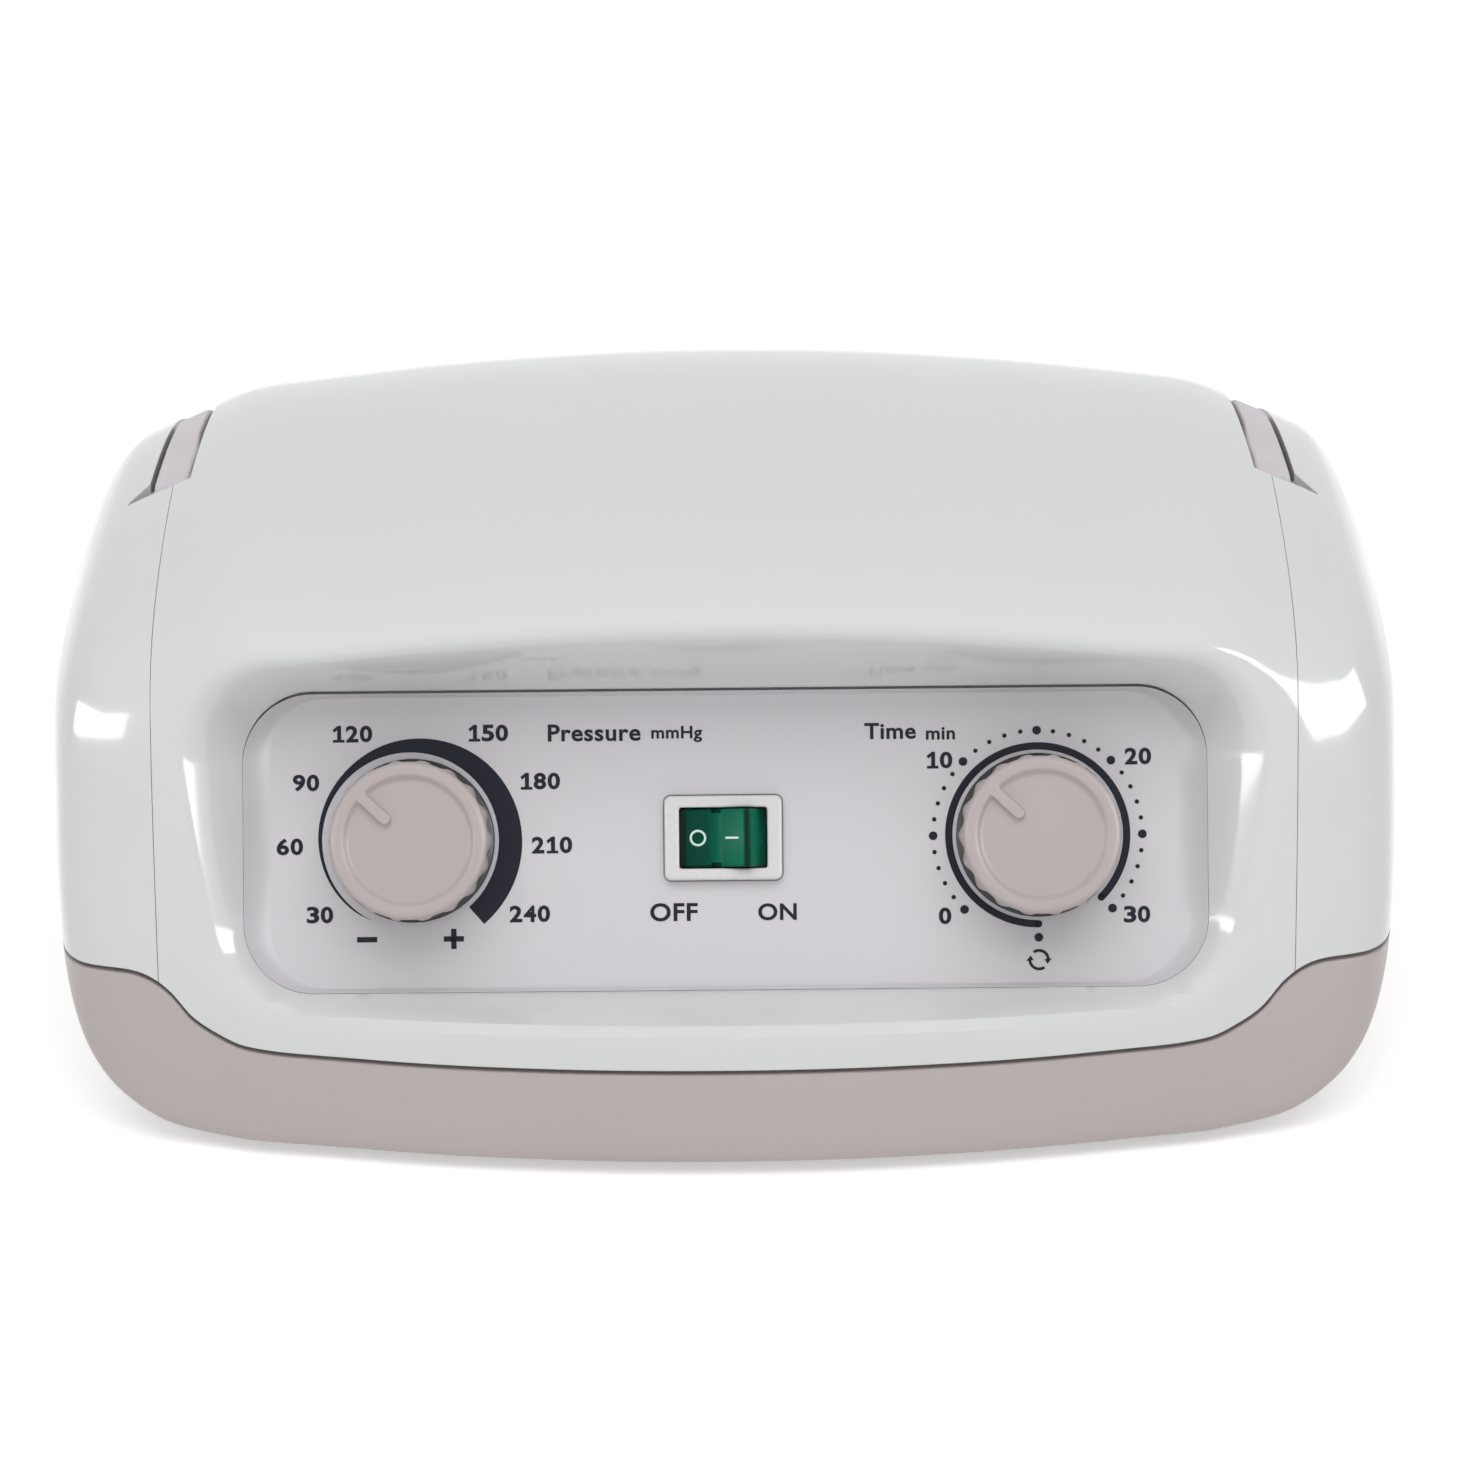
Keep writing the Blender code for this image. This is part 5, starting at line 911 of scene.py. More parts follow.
def make_knobs():
    """Both knobs on their black skirts."""
    low = TRAY_FLOOR + SEAT
    high = low + SKIRT_HEIGHT
    outline = [(KNOB_SOCKET, low), (SKIRT_RADIUS - SKIRT_EDGE, low), (SKIRT_RADIUS, low + SKIRT_EDGE),
               (SKIRT_RADIUS, high - SKIRT_EDGE), (SKIRT_RADIUS - SKIRT_EDGE, high), (KNOB_SOCKET, high)]
    for label, spot in KNOB_SPOTS.items():
        add_piece(label + "_knob_cap", put(knob_mesh("knob"), on_panel(*spot)), "knob_beige",
                  label + "_dial", label + "_knob", KNOB_CREASE)
        skirt = put(turned("skirt", outline, SKIRT_STEPS, closed=True), on_panel(*spot))
        add_piece(label + "_skirt_ring", skirt, "black_plastic", label + "_dial",
                  label + "_knob_skirt", KNOB_CREASE)


# Printing on the panel
INK = 0.00006
INK_SUNK = 0.0002
ARC_STEP = math.radians(1.5)
CRESCENT_INNER = 0.0158
CRESCENT_WIDTH = 0.0041
CRESCENT_SPOT = (-0.0563, 0.0004)
CRESCENT_ENDS = (math.radians(243.0), math.radians(-49.0))
# Width of the crescent along its run, both as shares
CRESCENT_SHARES = [(0.0, 0.0), (0.04, 0.06), (0.113, 0.10), (0.216, 0.15), (0.37, 0.27),
                   (0.524, 0.57), (0.678, 0.87), (0.832, 1.0), (1.0, 0.98)]
TIME_RING_RADIUS = 0.0159
TIME_RING_HALF = 0.00065
TIME_RING_ENDS = (math.radians(270.0), math.radians(-45.0))
DOT_RADIUS_OUT = 0.0187
DOT_BIG = 0.00078
DOT_SMALL = 0.00040
DOT_STEPS = 40
# Minute dots: how many, the first one's angle, the step between two, and how often a big one comes
DOT_COUNT, DOT_START, DOT_TURN, DOT_BIG_EVERY = 31, math.radians(225.0), math.radians(9.0), 5
NUMBER_HEIGHT = 0.0030
# Numbers round each dial: text, distance from the knob's axis, angle in degrees
NUMBERS = {"pressure": [("30", 0.0213, 218.0), ("60", 0.0221, 182.3), ("90", 0.0218, 151.2),
                        ("120", 0.0220, 119.4), ("150", 0.0234, 54.8), ("180", 0.0250, 24.7),
                        ("210", 0.0248, 357.7), ("240", 0.0246, 327.4)],
           "timer": [("10", 0.0221, 142.3), ("20", 0.0228, 37.6), ("0", 0.0220, 220.6),
                     ("30", 0.0227, 320.8)]}
# Words: text, left end, right end, middle height above the panel's middle
WORDS = [("Pressure", -0.0316, -0.0150, 0.0194), ("mmHg", -0.0131, -0.0040, 0.0190),
         ("Time", 0.0250, 0.0342, 0.0192), ("min", 0.0360, 0.0412, 0.0187),
         ("OFF", -0.0136, -0.0051, -0.0128), ("ON", 0.0057, 0.0126, -0.0129)]
SIGN_HALF = 0.0018
SIGN_STROKE = 0.00048
SIGN_SPOTS = ((-0.0642, -0.0172), (-0.0487, -0.0172))
CYCLE_SPOT = (0.0558, -0.0219)
CYCLE_RADIUS = 0.00165
CYCLE_HALF = 0.00026
CYCLE_STARTS = (math.radians(125.0), math.radians(305.0))
CYCLE_RUN = math.radians(120.0)
CYCLE_HEAD_RUN = math.radians(32.0)
CYCLE_HEAD_HALF = 0.000676
FIGURE_WEIGHT = 0.034
WORD_WEIGHT = 0.024
LETTER_SPACE = 1.06
WORD_HEIGHT_SHARE = 0.93
DIGIT_STEP = 0.00249
DIGIT_WIDE_SHARE = 0.90
# Outline of the figure one, in shares of its width and height
ONE_SHARES = [(0.08, 0.0), (1.0, 0.0), (1.0, 0.16), (0.74, 0.16), (0.74, 1.0), (0.48, 1.0),
              (0.06, 0.76), (0.18, 0.59), (0.42, 0.74), (0.42, 0.16), (0.08, 0.16)]
LETTER_STEPS = 4


def printed(name, outline, spot=(0.0, 0.0)):
    """A flat outline as a thin layer of ink on the tray's floor."""
    placed = [(x + spot[0], y + spot[1]) for x, y in outline]
    return prism(name, placed, TRAY_FLOOR - INK_SUNK, TRAY_FLOOR + INK)


def joined(name, meshes, matrix):
    """One mesh from several, moved to its place."""
    shape = bmesh.new()
    for mesh in meshes:
        shape.from_mesh(mesh)
        bpy.data.meshes.remove(mesh)
    mesh = bpy.data.meshes.new(name)
    shape.to_mesh(mesh)
    shape.free()
    return put(mesh, matrix)


def arc_band(inner, outer, start, end):
    """Outline of a band: inner and outer are functions of the angle giving points."""
    steps = max(2, round(abs(end - start) / ARC_STEP))
    angles = [start + (end - start) * k / steps for k in range(steps + 1)]
    return [outer(a) for a in angles] + [inner(a) for a in reversed(angles)]


def on_circle(radius):
    """A function from an angle to a point of a circle."""
    return lambda a: (radius * math.cos(a), radius * math.sin(a))


def disc_outline(radius, centre):
    """Points round a dot."""
    return [(x, y) for x, y, z in ring_points(radius, 0.0, DOT_STEPS, centre)]


def pressure_scale():
    """The crescent that widens with the pressure."""
    start, end = CRESCENT_ENDS

    def outer(angle):
        share = smooth_table(CRESCENT_SHARES, (angle - start) / (end - start))[0]
        return on_circle(CRESCENT_INNER + CRESCENT_WIDTH * share + INK)(angle)
    return [printed("crescent", arc_band(on_circle(CRESCENT_INNER), outer, start, end), CRESCENT_SPOT)]


def time_scale():
    """The round-ended ring, its minute dots and the dot for endless running."""
    line = on_circle(TIME_RING_RADIUS)
    inner, outer = (on_circle(TIME_RING_RADIUS + side * TIME_RING_HALF) for side in (-1, 1))
    outlines = [arc_band(inner, outer, *TIME_RING_ENDS)]
    outlines += [disc_outline(TIME_RING_HALF, line(angle)) for angle in TIME_RING_ENDS]
    for k in range(DOT_COUNT):
        radius = DOT_SMALL if k % DOT_BIG_EVERY else DOT_BIG
        outlines.append(disc_outline(radius, on_circle(DOT_RADIUS_OUT)(DOT_START - DOT_TURN * k)))
    outlines.append(disc_outline(DOT_BIG, on_circle(DOT_RADIUS_OUT - DOT_SMALL)(-math.pi / 2)))
    return [printed("time", outline, KNOB_SPOTS["timer"]) for outline in outlines]


def cycle_icon():
    """Two arrows that chase each other round a circle."""
    inner, outer = on_circle(CYCLE_RADIUS - CYCLE_HALF), on_circle(CYCLE_RADIUS + CYCLE_HALF)
    outlines = []
    for start in CYCLE_STARTS:
        end = start - CYCLE_RUN
        outlines.append(arc_band(inner, outer, start, end))
        outlines.append([on_circle(CYCLE_RADIUS - CYCLE_HEAD_HALF)(end),
                         on_circle(CYCLE_RADIUS)(end - CYCLE_HEAD_RUN),
                         on_circle(CYCLE_RADIUS + CYCLE_HEAD_HALF)(end)])
    return [printed("arrow", outline, CYCLE_SPOT) for outline in outlines]


def signs():
    """Minus and plus under the pressure dial."""
    flat = [(-SIGN_HALF, -SIGN_STROKE), (SIGN_HALF, -SIGN_STROKE), (SIGN_HALF, SIGN_STROKE),
            (-SIGN_HALF, SIGN_STROKE)]
    upright = [(y, x) for x, y in reversed(flat)]
    minus, plus = SIGN_SPOTS
    return [printed("sign", *sign) for sign in ((flat, minus), (flat, plus), (upright, plus))]


def lettering(text, middle_x, middle_y, width, height=None):
    """A word or figure as a thin mesh, fitted to a width and a height about its middle."""
    curve = bpy.data.curves.new("letters", "FONT")
    curve.body = text
    curve.extrude = 1.0
    curve.offset = FIGURE_WEIGHT if height else WORD_WEIGHT
    curve.space_character = LETTER_SPACE
    curve.resolution_u = LETTER_STEPS
    item = to_object("letters", curve)
    mesh = evaluated_mesh(item)
    bpy.data.objects.remove(item)
    flat = np.array([v.co for v in mesh.vertices])
    low, high = flat.min(axis=0), flat.max(axis=0)
    wide = width / (high[0] - low[0])
    tall = height / (high[1] - low[1]) if height else wide * WORD_HEIGHT_SHARE
    centre = (low + high) / 2
    place = Matrix.Translation((middle_x, middle_y, TRAY_FLOOR)) @ Matrix.Diagonal((wide, tall, INK, 1.0))
    return put(mesh, place @ Matrix.Translation((-centre[0], -centre[1], 0.0)))


def number(text, middle_x, middle_y):
    """Meshes of a number's figures, evenly spaced about its middle."""
    wide = DIGIT_STEP * DIGIT_WIDE_SHARE
    figures = []
    for k, figure in enumerate(text):
        x = middle_x + (k - (len(text) - 1) / 2) * DIGIT_STEP
        if figure == "1":
            low = (x - wide / 2, middle_y - NUMBER_HEIGHT / 2)
            outline = [(sx * wide, sy * NUMBER_HEIGHT) for sx, sy in ONE_SHARES]
            figures.append(printed("one", outline, low))
        else:
            figures.append(lettering(figure, x, middle_y, wide, NUMBER_HEIGHT))
    return figures


def make_printing():
    """Scales, signs, numbers and words in dark ink."""
    numbers = []
    for label, table in NUMBERS.items():
        cx, cy = KNOB_SPOTS[label]
        for text, distance, degrees in table:
            angle = math.radians(degrees)
            numbers += number(text, cx + distance * math.cos(angle), cy + distance * math.sin(angle))
    words = [lettering(text, (left + right) / 2, y, right - left) for text, left, right, y in WORDS]
    groups = {"pressure_scale": pressure_scale(), "time_scale": time_scale(), "cycle_icon": cycle_icon(),
              "signs": signs(), "numbers": numbers, "words": words}
    for name, meshes in groups.items():
        add_piece(name, joined(name, meshes, TO_WORLD), "navy_ink", crease=None)


# Rocker switch
SWITCH_FLANGE = 0.0018
SWITCH_EDGE = 0.0006
SWITCH_EDGE_STEPS = 6
WINDOW_WIDE = 0.0157
WINDOW_HIGH = 0.0109
WINDOW_CORNER = 0.0005
WINDOW_EDGE = 0.0004
SWITCH_BACK = 0.0125
SWITCH_WALL = 0.0014
ROCKER_TILT = math.radians(14.0)
ROCKER_DROP = 0.0055
ROCKER_END_HEIGHT = 0.0068
ROCKER_MIDDLE_HEIGHT = 0.0053
ROCKER_TOP_HALF = 0.0062
ROCKER_HALF = 0.0073
ROCKER_KEEL = 0.0020
ROCKER_EDGE = 0.0005
ROCKER_EDGE_STEPS = 4
ROCKER_NARROW_SHARE = 0.5
# Top corner of the rocker, from outside in: steps out and down as shares of its edge
ROCKER_CORNER_SHARES = ((1.0, 1.6), (0.4, 0.3), (-0.4, 0.0))
DISH_HALF = 0.0055
ROCKER_STEPS = 8
ROCKER_CURVE = 1.25
ROCKER_RISE_SHARE = 0.96
NOTCH_HALF = 0.0009
NOTCH_DEPTH = 0.0007
MARK_RING_RADIUS = 0.00128
MARK_RING_HALF = 0.00020
MARK_RING_STEPS = 64
MARK_BAR = 0.00270
MARK_BAR_CORNER = 0.00018
MARK_BAR_STEPS = 4
MARK_SLOPE_STEP = 0.0007
MARK_SHARE = 0.57
MARK_LIFT = 0.00010


def make_bezel():
    """The switch's white frame with its rounded lip and window."""
    foot = TRAY_FLOOR + SEAT
    front = foot + SWITCH_FLANGE
    wide, high = SWITCH_WIDE / 2, SWITCH_HIGH / 2
    window_x, window_y = WINDOW_WIDE / 2, WINDOW_HIGH / 2
    rings = [rounded(window_x + SWITCH_WALL, window_y + SWITCH_WALL, SWITCH_EDGE, z)
             for z in (foot - SWITCH_BACK, foot)]
    rings.append(rounded(wide, high, SWITCH_CORNER, foot))
    turns = quarter(SWITCH_EDGE_STEPS)
    for inward, below in turns:
        inset = SWITCH_EDGE * inward
        rings.append(rounded(wide - inset, high - inset, SWITCH_CORNER - inset / 2,
                             front - SWITCH_EDGE * below))
    for below, outward in turns:
        grow = WINDOW_EDGE * outward
        rings.append(rounded(window_x + grow, window_y + grow, WINDOW_CORNER + grow,
                             front - WINDOW_EDGE * below))
    rings.append(rounded(window_x, window_y, WINDOW_CORNER, foot - SWITCH_BACK + SWITCH_WALL))
    add_piece("switch_bezel", put(loft("bezel", rings), on_panel(*SWITCH_SPOT)), "light_plastic",
              node="switch_frame", crease=PANEL_CREASE)


def rocker_place():
    """The rocker's own frame: origin on its pivot, tipped to off."""
    front = TRAY_FLOOR + SEAT + SWITCH_FLANGE
    return on_panel(*SWITCH_SPOT, front - ROCKER_DROP) @ Matrix.Rotation(-ROCKER_TILT, 4, "Y")


def rocker_dip(share):
    """Rise of the rocker's hollow top over its middle, at a share of its half length."""
    return (ROCKER_END_HEIGHT - ROCKER_MIDDLE_HEIGHT) * ROCKER_RISE_SHARE * share ** ROCKER_CURVE


def make_rocker():
    """The clear green rocker with its hollow top and its pivot notches."""
    half = WINDOW_HIGH / 2 - SEAT
    corner = [(ROCKER_TOP_HALF + ROCKER_EDGE * out, ROCKER_END_HEIGHT - ROCKER_EDGE * down)
              for out, down in ROCKER_CORNER_SHARES]
    outline = [(-ROCKER_HALF, -ROCKER_KEEL), (ROCKER_HALF, -ROCKER_KEEL), *corner]
    for k in range(-ROCKER_STEPS, ROCKER_STEPS + 1):
        share = -k / ROCKER_STEPS
        outline.append((share * DISH_HALF, ROCKER_MIDDLE_HEIGHT + rocker_dip(abs(share))))
    outline += [(-x, z) for x, z in reversed(corner)]
    rings = []
    cuts = []
    for side in (-1, 1):
        for k in range(ROCKER_EDGE_STEPS + 1):
            share = k / ROCKER_EDGE_STEPS if side < 0 else 1 - k / ROCKER_EDGE_STEPS
            inset = ROCKER_EDGE * (1 - math.sin(math.pi / 2 * share))
            narrow = 1 - inset * ROCKER_NARROW_SHARE / ROCKER_HALF
            y = side * (half - ROCKER_EDGE * share)
            rings.append([(x * narrow, y, z - inset if z > 0 else z) for x, z in outline])
        low = (-NOTCH_HALF, side * half - NOTCH_DEPTH, ROCKER_MIDDLE_HEIGHT - NOTCH_DEPTH * 2)
        high = (NOTCH_HALF, side * half + NOTCH_DEPTH, ROCKER_END_HEIGHT)
        cuts.append(put(box("notch", low, high), rocker_place()))
    add_piece("rocker_body", put(loft("rocker", rings), rocker_place()), "rocker_green", "rocker",
              "switch_rocker", ROUND_CREASE, cuts)


def make_marks():
    """The ring for off and the bar for on, laid on the rocker's hollow top."""
    inner, outer = MARK_RING_RADIUS - MARK_RING_HALF, MARK_RING_RADIUS + MARK_RING_HALF
    band = [(inner, -INK_SUNK), (outer, -INK_SUNK), (outer, INK), (inner, INK)]
    bar = [rounded(MARK_BAR / 2, MARK_RING_HALF, MARK_BAR_CORNER, z, MARK_BAR_STEPS)
           for z in (-INK_SUNK, INK)]
    meshes = {-1: turned("off_mark", band, MARK_RING_STEPS, closed=True), 1: loft("on_mark", bar)}
    step = MARK_SLOPE_STEP / DISH_HALF
    rise = rocker_dip(MARK_SHARE + step) - rocker_dip(MARK_SHARE - step)
    slope = math.atan2(rise, MARK_SLOPE_STEP * 2)
    z = ROCKER_MIDDLE_HEIGHT + rocker_dip(MARK_SHARE) + MARK_LIFT
    marks = []
    for side, mesh in meshes.items():
        place = Matrix.Translation((side * DISH_HALF * MARK_SHARE, 0.0, z))
        marks.append(put(mesh, place @ Matrix.Rotation(-side * slope, 4, "Y")))
    add_piece("rocker_marks", joined("rocker_marks", marks, rocker_place()), "white_mark", "rocker",
              crease=None)


# Carrying handle
HANDLE_PROUD = 0.0003
HANDLE_EDGE = 0.0012
EDGE_STEPS = 4
NOSE_STEPS = 10
ARM_STEPS = 44
BEND_STEPS = 20
BAR_STEPS = 24
NOSE_START = 0.25
SOFT_SHARE = 0.45
ROD_STEPS = 48
# The upper half of the case's outline, from which its top is read
TOP_PROFILE = profile(SKIN_POINTS)
TOP_SHARE = 0.5
TOP_ROWS = TOP_PROFILE[:, 1] > TOP_SHARE


def surface_height(x, y):
    """Height of the case's top at a place in plan."""
    top = section(x, TOP_PROFILE)[TOP_ROWS]
    order = np.argsort(top[:, 1])
    return float(np.interp(y, top[order, 1], top[order, 2]))


def handle_stations():
    """Places along the handle from the right arm's front end to the middle of the bar."""
    stations = []
    for k in range(NOSE_STEPS):
        y = PIVOT_Y - ARM_END_RADIUS * math.cos(math.pi / 2 * (k + NOSE_START) / NOSE_STEPS)
        stations.append((Vector((arm_line(y), y)), Vector((0.0, 1.0))))
    bend = Vector((arm_line(BAR_Y) - BAR_CORNER, BAR_Y - BAR_CORNER))
    for k in range(ARM_STEPS):
        y = PIVOT_Y + (bend.y - PIVOT_Y) * k / ARM_STEPS
        stations.append((Vector((arm_line(y), y)), Vector((0.0, 1.0))))
    for k in range(BEND_STEPS + 1):
        angle = math.pi / 2 * k / BEND_STEPS
        out = Vector((math.cos(angle), math.sin(angle)))
        stations.append((bend + out * BAR_CORNER, Vector((-out.y, out.x))))
    for k in range(1, BAR_STEPS + 1):
        stations.append((Vector((bend.x * (1 - k / BAR_STEPS), BAR_Y)), Vector((-1.0, 0.0))))
    return stations


def bar_height(x):
    """Top of the bar, a flat arch across the case."""
    return BAR_TOP - BAR_SAG * (x / ARM_X) ** 2


def arm_height(edge):
    """Top of an arm: flush with the case, and kept low near its pin so that it can swing up."""
    top = surface_height(min(edge.x, WIDTH / 2), edge.y) + HANDLE_PROUD
    low = min(top, PIVOT_Z + PIVOT_Y - GROOVE_FRONT - SLACK)
    return low + (top - low) * ease((edge.y - PIVOT_Y - SWING_RUN) / SWING_BLEND)


def softened(corners, radius):
    """A closed outline with each corner drawn round."""
    points = []
    for i, corner in enumerate(corners):
        before, after = corners[i - 1] - corner, corners[(i + 1) % len(corners)] - corner
        start = corner + before.normalized() * min(radius, before.length * SOFT_SHARE)
        end = corner + after.normalized() * min(radius, after.length * SOFT_SHARE)
        for k in range(EDGE_STEPS + 1):
            t = k / EDGE_STEPS
            points.append(start * (1 - t) ** 2 + corner * 2 * t * (1 - t) + end * t ** 2)
    return points


def handle_ring(spot, along):
    """One section of the handle, square to its run in plan."""
    across = Vector((along.y, -along.x))
    turned_share = 1.0 - abs(along.y)
    half = (ARM_WIDTH + (BAR_DEPTH - ARM_WIDTH) * turned_share) / 2
    flush = PIVOT_Y + ARM_FLUSH
    blend = ease((spot.y - flush) / (BAR_Y - BAR_CORNER - flush)) if turned_share == 0.0 else 1.0
    edges = [spot + across * half * side for side in (1.0, -1.0)]
    tops = [arm_height(edge) for edge in edges]
    tops = [top + (bar_height(edge.x) - top) * blend for top, edge in zip(tops, edges)]
    bottom = GROOVE_FLOOR + SLACK
    bottom += blend * (bar_height(spot.x) - BAR_THICKNESS - bottom)
    if spot.y < PIVOT_Y:
        cap = math.sqrt(max(0.0, ARM_END_RADIUS ** 2 - (spot.y - PIVOT_Y) ** 2))
        tops = [min(top, PIVOT_Z + cap) for top in tops]
        bottom = max(bottom, PIVOT_Z - (PIVOT_Z - GROOVE_FLOOR - SLACK) * cap / ARM_END_RADIUS)
    corners = [Vector((*edges[0], tops[0])), Vector((*edges[1], tops[1])),
               Vector((*edges[1], bottom)), Vector((*edges[0], bottom))]
    return [tuple(p) for p in softened(corners, HANDLE_EDGE)]


def pivot_rod(radius, low, high):
    """A rod along the handle's axis."""
    rod = turned("rod", [(radius, low), (radius, high)], ROD_STEPS)
    return put(rod, Matrix.Translation((0.0, PIVOT_Y, PIVOT_Z)) @ Matrix.Rotation(math.pi / 2, 4, "Y"))


def make_handle():
    """The bail from one arm's front end round to the other's, and its two pins."""
    half = [handle_ring(spot, along) for spot, along in handle_stations()]
    other = [[(-x, y, z) for x, y, z in ring] for ring in reversed(half[:-1])]
    arm_x = arm_line(PIVOT_Y)
    reach = ARM_WIDTH / 2 + GROOVE_GAP + GROOVE_WALL
    spans = {label: (side * arm_x - reach, side * arm_x + reach)
             for label, side in (("left", -1), ("right", 1))}
    holes = [pivot_rod(PIVOT_RADIUS + SEAT, *span) for span in spans.values()]
    add_piece("handle_bail", loft("bail", half + other), "handle_grey", "handle", "carry_handle",
              HANDLE_CREASE, holes)
    for label, (low, high) in spans.items():
        add_piece("pin_" + label, pivot_rod(PIVOT_RADIUS, low + SEAT, high - SEAT), "steel",
                  node="handle_pin_" + label)


# Rear panel and what it carries
REAR_THICKNESS = 0.0024
REAR_LINE_Z = 0.0400
INLET_X = -0.0620
INLET_WIDE, INLET_HIGH, INLET_CORNER = 0.0240, 0.0160, 0.0040
INLET_FLANGE = 0.0030
INLET_FLANGE_THICKNESS = 0.0018
INLET_DEPTH = 0.0150
INLET_WALL = 0.0018
INLET_PIN_RADIUS = 0.0013
INLET_PIN_PITCH = 0.0087
INLET_PIN_LENGTH = 0.0085
INLET_PIN_EDGE_STEPS = 7
INLET_PIN_STEPS = 32
FUSE_X = -0.0300
FUSE_RADIUS = 0.0060
FUSE_CAP_RADIUS = 0.0078
FUSE_CAP_THICKNESS = 0.0035
FUSE_LENGTH = 0.0240
FUSE_SLOT = 0.0016
FUSE_RIBS = 24
FUSE_RIB_STEPS = 8
FUSE_RIB_DEPTH = 0.00035
FUSE_HALF_SHARE = 0.5
PORT_COUNT = 4
PORTS = [middle("air_outlet_%d" % (k + 1)).x for k in range(PORT_COUNT)]
PORT_RADIUS = 0.0036
PORT_BORE = 0.0022
PORT_LENGTH = 0.0105
PORT_COLLAR_RADIUS = 0.0062
PORT_COLLAR = 0.0020
PORT_TAIL = 0.0060
PORT_BARBS = 3
PORT_BARB_RUN = 0.0026
PORT_BARB_DROP = 0.0009
PORT_STEPS = 72
SMALL_EDGE = 0.0004


def facing_rear(x, z=REAR_LINE_Z):
    """From a frame whose Z looks out of the rear panel to the world."""
    return Matrix.Translation((x, REAR_Y, z)) @ Matrix.Rotation(-math.pi / 2, 4, "X")


def make_rear_plate():
    """The plate in the rear recess with its rounded outer edge and its holes."""
    rings = [rounded(REAR_HALF_X - inset, REAR_HALF_Z - inset, REAR_CORNER, z)
             for inset, z in ((0.0, -REAR_THICKNESS), (0.0, -SMALL_EDGE), (SMALL_EDGE, 0.0))]
    through = (-REAR_THICKNESS * 2, REAR_THICKNESS)
    hole = [rounded(INLET_WIDE / 2 + SEAT, INLET_HIGH / 2 + SEAT, INLET_CORNER, z) for z in through]
    cuts = [put(loft("hole", hole), facing_rear(INLET_X))]
    for x, radius in [(FUSE_X, FUSE_RADIUS)] + [(x, PORT_RADIUS) for x in PORTS]:
        cuts.append(put(turned("hole", [(radius + SEAT, z) for z in through]), facing_rear(x)))
    add_piece("rear_plate", put(loft("plate", rings), facing_rear(0.0, REAR_MIDDLE_Z)),
              "rear_plate_grey", node="rear_panel", cuts=cuts)


def make_inlet():
    """The mains inlet with a rounded flange and a hollow nose."""
    wide, high = INLET_WIDE / 2, INLET_HIGH / 2
    front = SEAT + INLET_FLANGE_THICKNESS
    outside = ((0.0, -INLET_DEPTH), (0.0, SEAT), (INLET_FLANGE, SEAT),
               (INLET_FLANGE, front - SMALL_EDGE), (INLET_FLANGE - SMALL_EDGE, front))
    inside = ((SMALL_EDGE, front), (0.0, front - SMALL_EDGE), (0.0, INLET_WALL - INLET_DEPTH))
    rings = [rounded(wide + grow, high + grow, INLET_CORNER, z) for grow, z in outside]
    rings += [rounded(wide - INLET_WALL + grow, high - INLET_WALL + grow, INLET_CORNER - INLET_WALL, z)
              for grow, z in inside]
    add_piece("inlet_socket", put(loft("inlet", rings), facing_rear(INLET_X)), "black_plastic",
              node="mains_inlet", crease=ROUND_CREASE)


def make_contacts():
    """The inlet's two pins with rounded ends."""
    floor = INLET_WALL - INLET_DEPTH
    top = floor + INLET_PIN_LENGTH
    outline = [(INLET_PIN_RADIUS, floor - INLET_WALL / 2), (INLET_PIN_RADIUS, top - INLET_PIN_RADIUS)]
    for inward, below in quarter(INLET_PIN_EDGE_STEPS, 1)[:-1]:
        outline.append((INLET_PIN_RADIUS * (1 - inward), top - INLET_PIN_RADIUS * below))
    pins = [put(turned("pin", outline, INLET_PIN_STEPS),
                Matrix.Translation((side * INLET_PIN_PITCH / 2, 0.0, 0.0))) for side in (-1, 1)]
    add_piece("inlet_contacts", joined("inlet_contacts", pins, facing_rear(INLET_X)), "steel",
              crease=PANEL_CREASE)


def make_fuse_cap():
    """The fuse holder with a ribbed cap and a coin slot."""
    front = SEAT + FUSE_CAP_THICKNESS
    edge = SMALL_EDGE * 2
    # Radius, height, share of the ribs' depth
    outline = ((FUSE_RADIUS, -FUSE_LENGTH, 0.0), (FUSE_RADIUS, SEAT, 0.0), (FUSE_CAP_RADIUS, SEAT, 0.0),
               (FUSE_CAP_RADIUS, SEAT + SMALL_EDGE, 0.0), (FUSE_CAP_RADIUS, SEAT + edge, 1.0),
               (FUSE_CAP_RADIUS, front - edge, 1.0),
               (FUSE_CAP_RADIUS - SMALL_EDGE, front - SMALL_EDGE, FUSE_HALF_SHARE),
               (FUSE_CAP_RADIUS - edge, front, 0.0))
    rings = [wavy_ring(radius, FUSE_RIBS, FUSE_RIB_STEPS, FUSE_RIB_DEPTH * share, z)
             for radius, z, share in outline]
    slot = box("slot", (-FUSE_RADIUS, -FUSE_SLOT / 2, front - FUSE_SLOT),
               (FUSE_RADIUS, FUSE_SLOT / 2, front * 2))
    add_piece("fuse_cap", put(loft("fuse", rings), facing_rear(FUSE_X)), "black_plastic",
              node="fuse_holder", crease=HANDLE_CREASE, cuts=[put(slot, facing_rear(FUSE_X))])


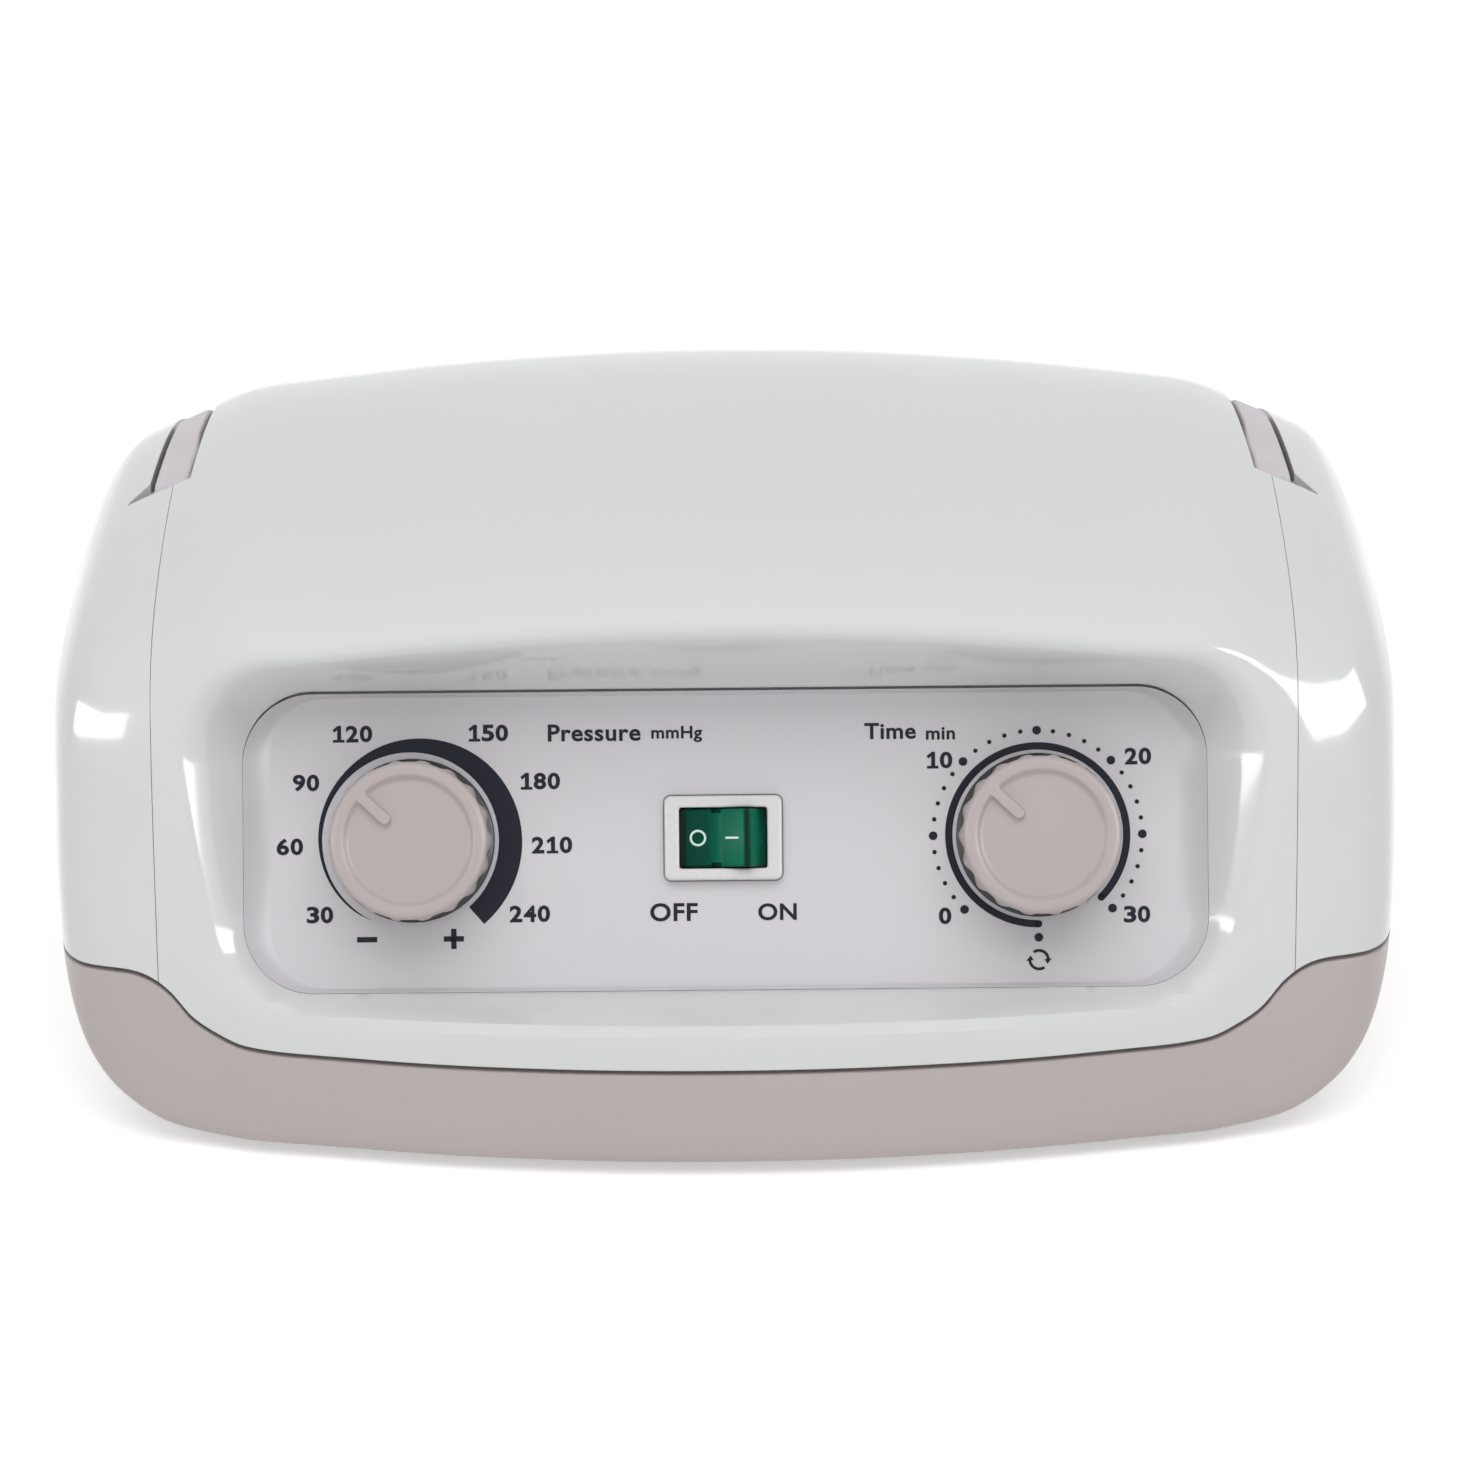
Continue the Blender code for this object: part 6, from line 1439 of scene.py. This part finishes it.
def make_outlets():
    """Air outlets: a rounded collar and a nose with barbs that hold a hose."""
    collar = SEAT + PORT_COLLAR
    back = -REAR_THICKNESS - PORT_TAIL
    neck = PORT_RADIUS - PORT_BARB_DROP
    outline = [(PORT_BORE, back), (PORT_RADIUS, back), (PORT_RADIUS, SEAT),
               (PORT_COLLAR_RADIUS, SEAT), (PORT_COLLAR_RADIUS, collar - SMALL_EDGE),
               (PORT_COLLAR_RADIUS - SMALL_EDGE, collar), (neck, collar)]
    for k in range(PORT_BARBS):
        foot = PORT_LENGTH - (PORT_BARBS - k) * PORT_BARB_RUN
        outline += [(neck, foot), (PORT_RADIUS, foot + SMALL_EDGE / 2), (PORT_RADIUS, foot + SMALL_EDGE)]
    outline += [(neck, PORT_LENGTH - SMALL_EDGE / 2), (neck - SMALL_EDGE / 2, PORT_LENGTH),
                (PORT_BORE, PORT_LENGTH)]
    for k, x in enumerate(PORTS):
        outlet = put(turned("outlet", outline, PORT_STEPS, closed=True), facing_rear(x))
        add_piece("hose_barb_%d" % (k + 1), outlet, "light_plastic", node="air_outlet_%d" % (k + 1),
                  crease=ROUND_CREASE)


# Feet
FOOT_EDGE = 0.0012
FOOT_EDGE_STEPS = 5
FOOT_STEPS = 72
FOOT_LABELS = ("front_left", "rear_left", "front_right", "rear_right")
# Radii of a foot's dimple, of the dimple's rim and of its upper boss, as shares of the foot's own
DIMPLE_SHARE, DIMPLE_RIM_SHARE, BOSS_SHARE = 0.45, 0.50, 0.27


def make_feet():
    """Rubber feet with rounded rims and a shallow dimple."""
    under = FOOT_HEIGHT - SEAT
    for label in FOOT_LABELS:
        low, high = low_high("foot_" + label)
        radius = (high.x - low.x) / 2
        outline = [(radius * DIMPLE_SHARE, SMALL_EDGE), (radius * DIMPLE_RIM_SHARE, 0.0),
                   (radius - FOOT_EDGE, 0.0)]
        for up, inward in quarter(FOOT_EDGE_STEPS, 1):
            outline.append((radius - FOOT_EDGE * inward, FOOT_EDGE * up))
        outline += [(radius, under - SMALL_EDGE), (radius - SMALL_EDGE, under),
                    (radius * BOSS_SHARE, under), (radius * BOSS_SHARE, high.z)]
        place = Matrix.Translation(((low.x + high.x) / 2, (low.y + high.y) / 2, 0.0))
        add_piece("rubber_foot_" + label, put(turned("foot", outline, FOOT_STEPS), place),
                  "foot_rubber", node="foot_" + label, crease=ROUND_CREASE)


def finish_nodes():
    """Better finishes for the frame nodes that keep their shape."""
    for entry in frame["record"]["subparts"]:
        materials = frame["nodes"][entry["node"]].data.materials
        materials.clear()
        materials.append(MATS[entry["material_slot"]])


bpy.context.scene.view_settings.view_transform = "Standard"
for make in (make_camera, make_world, make_floor, make_lights, finish_nodes, make_case, make_tray,
             make_knobs, make_printing, make_bezel, make_rocker, make_marks, make_handle,
             make_rear_plate, make_inlet, make_contacts, make_fuse_cap, make_outlets, make_feet):
    make()
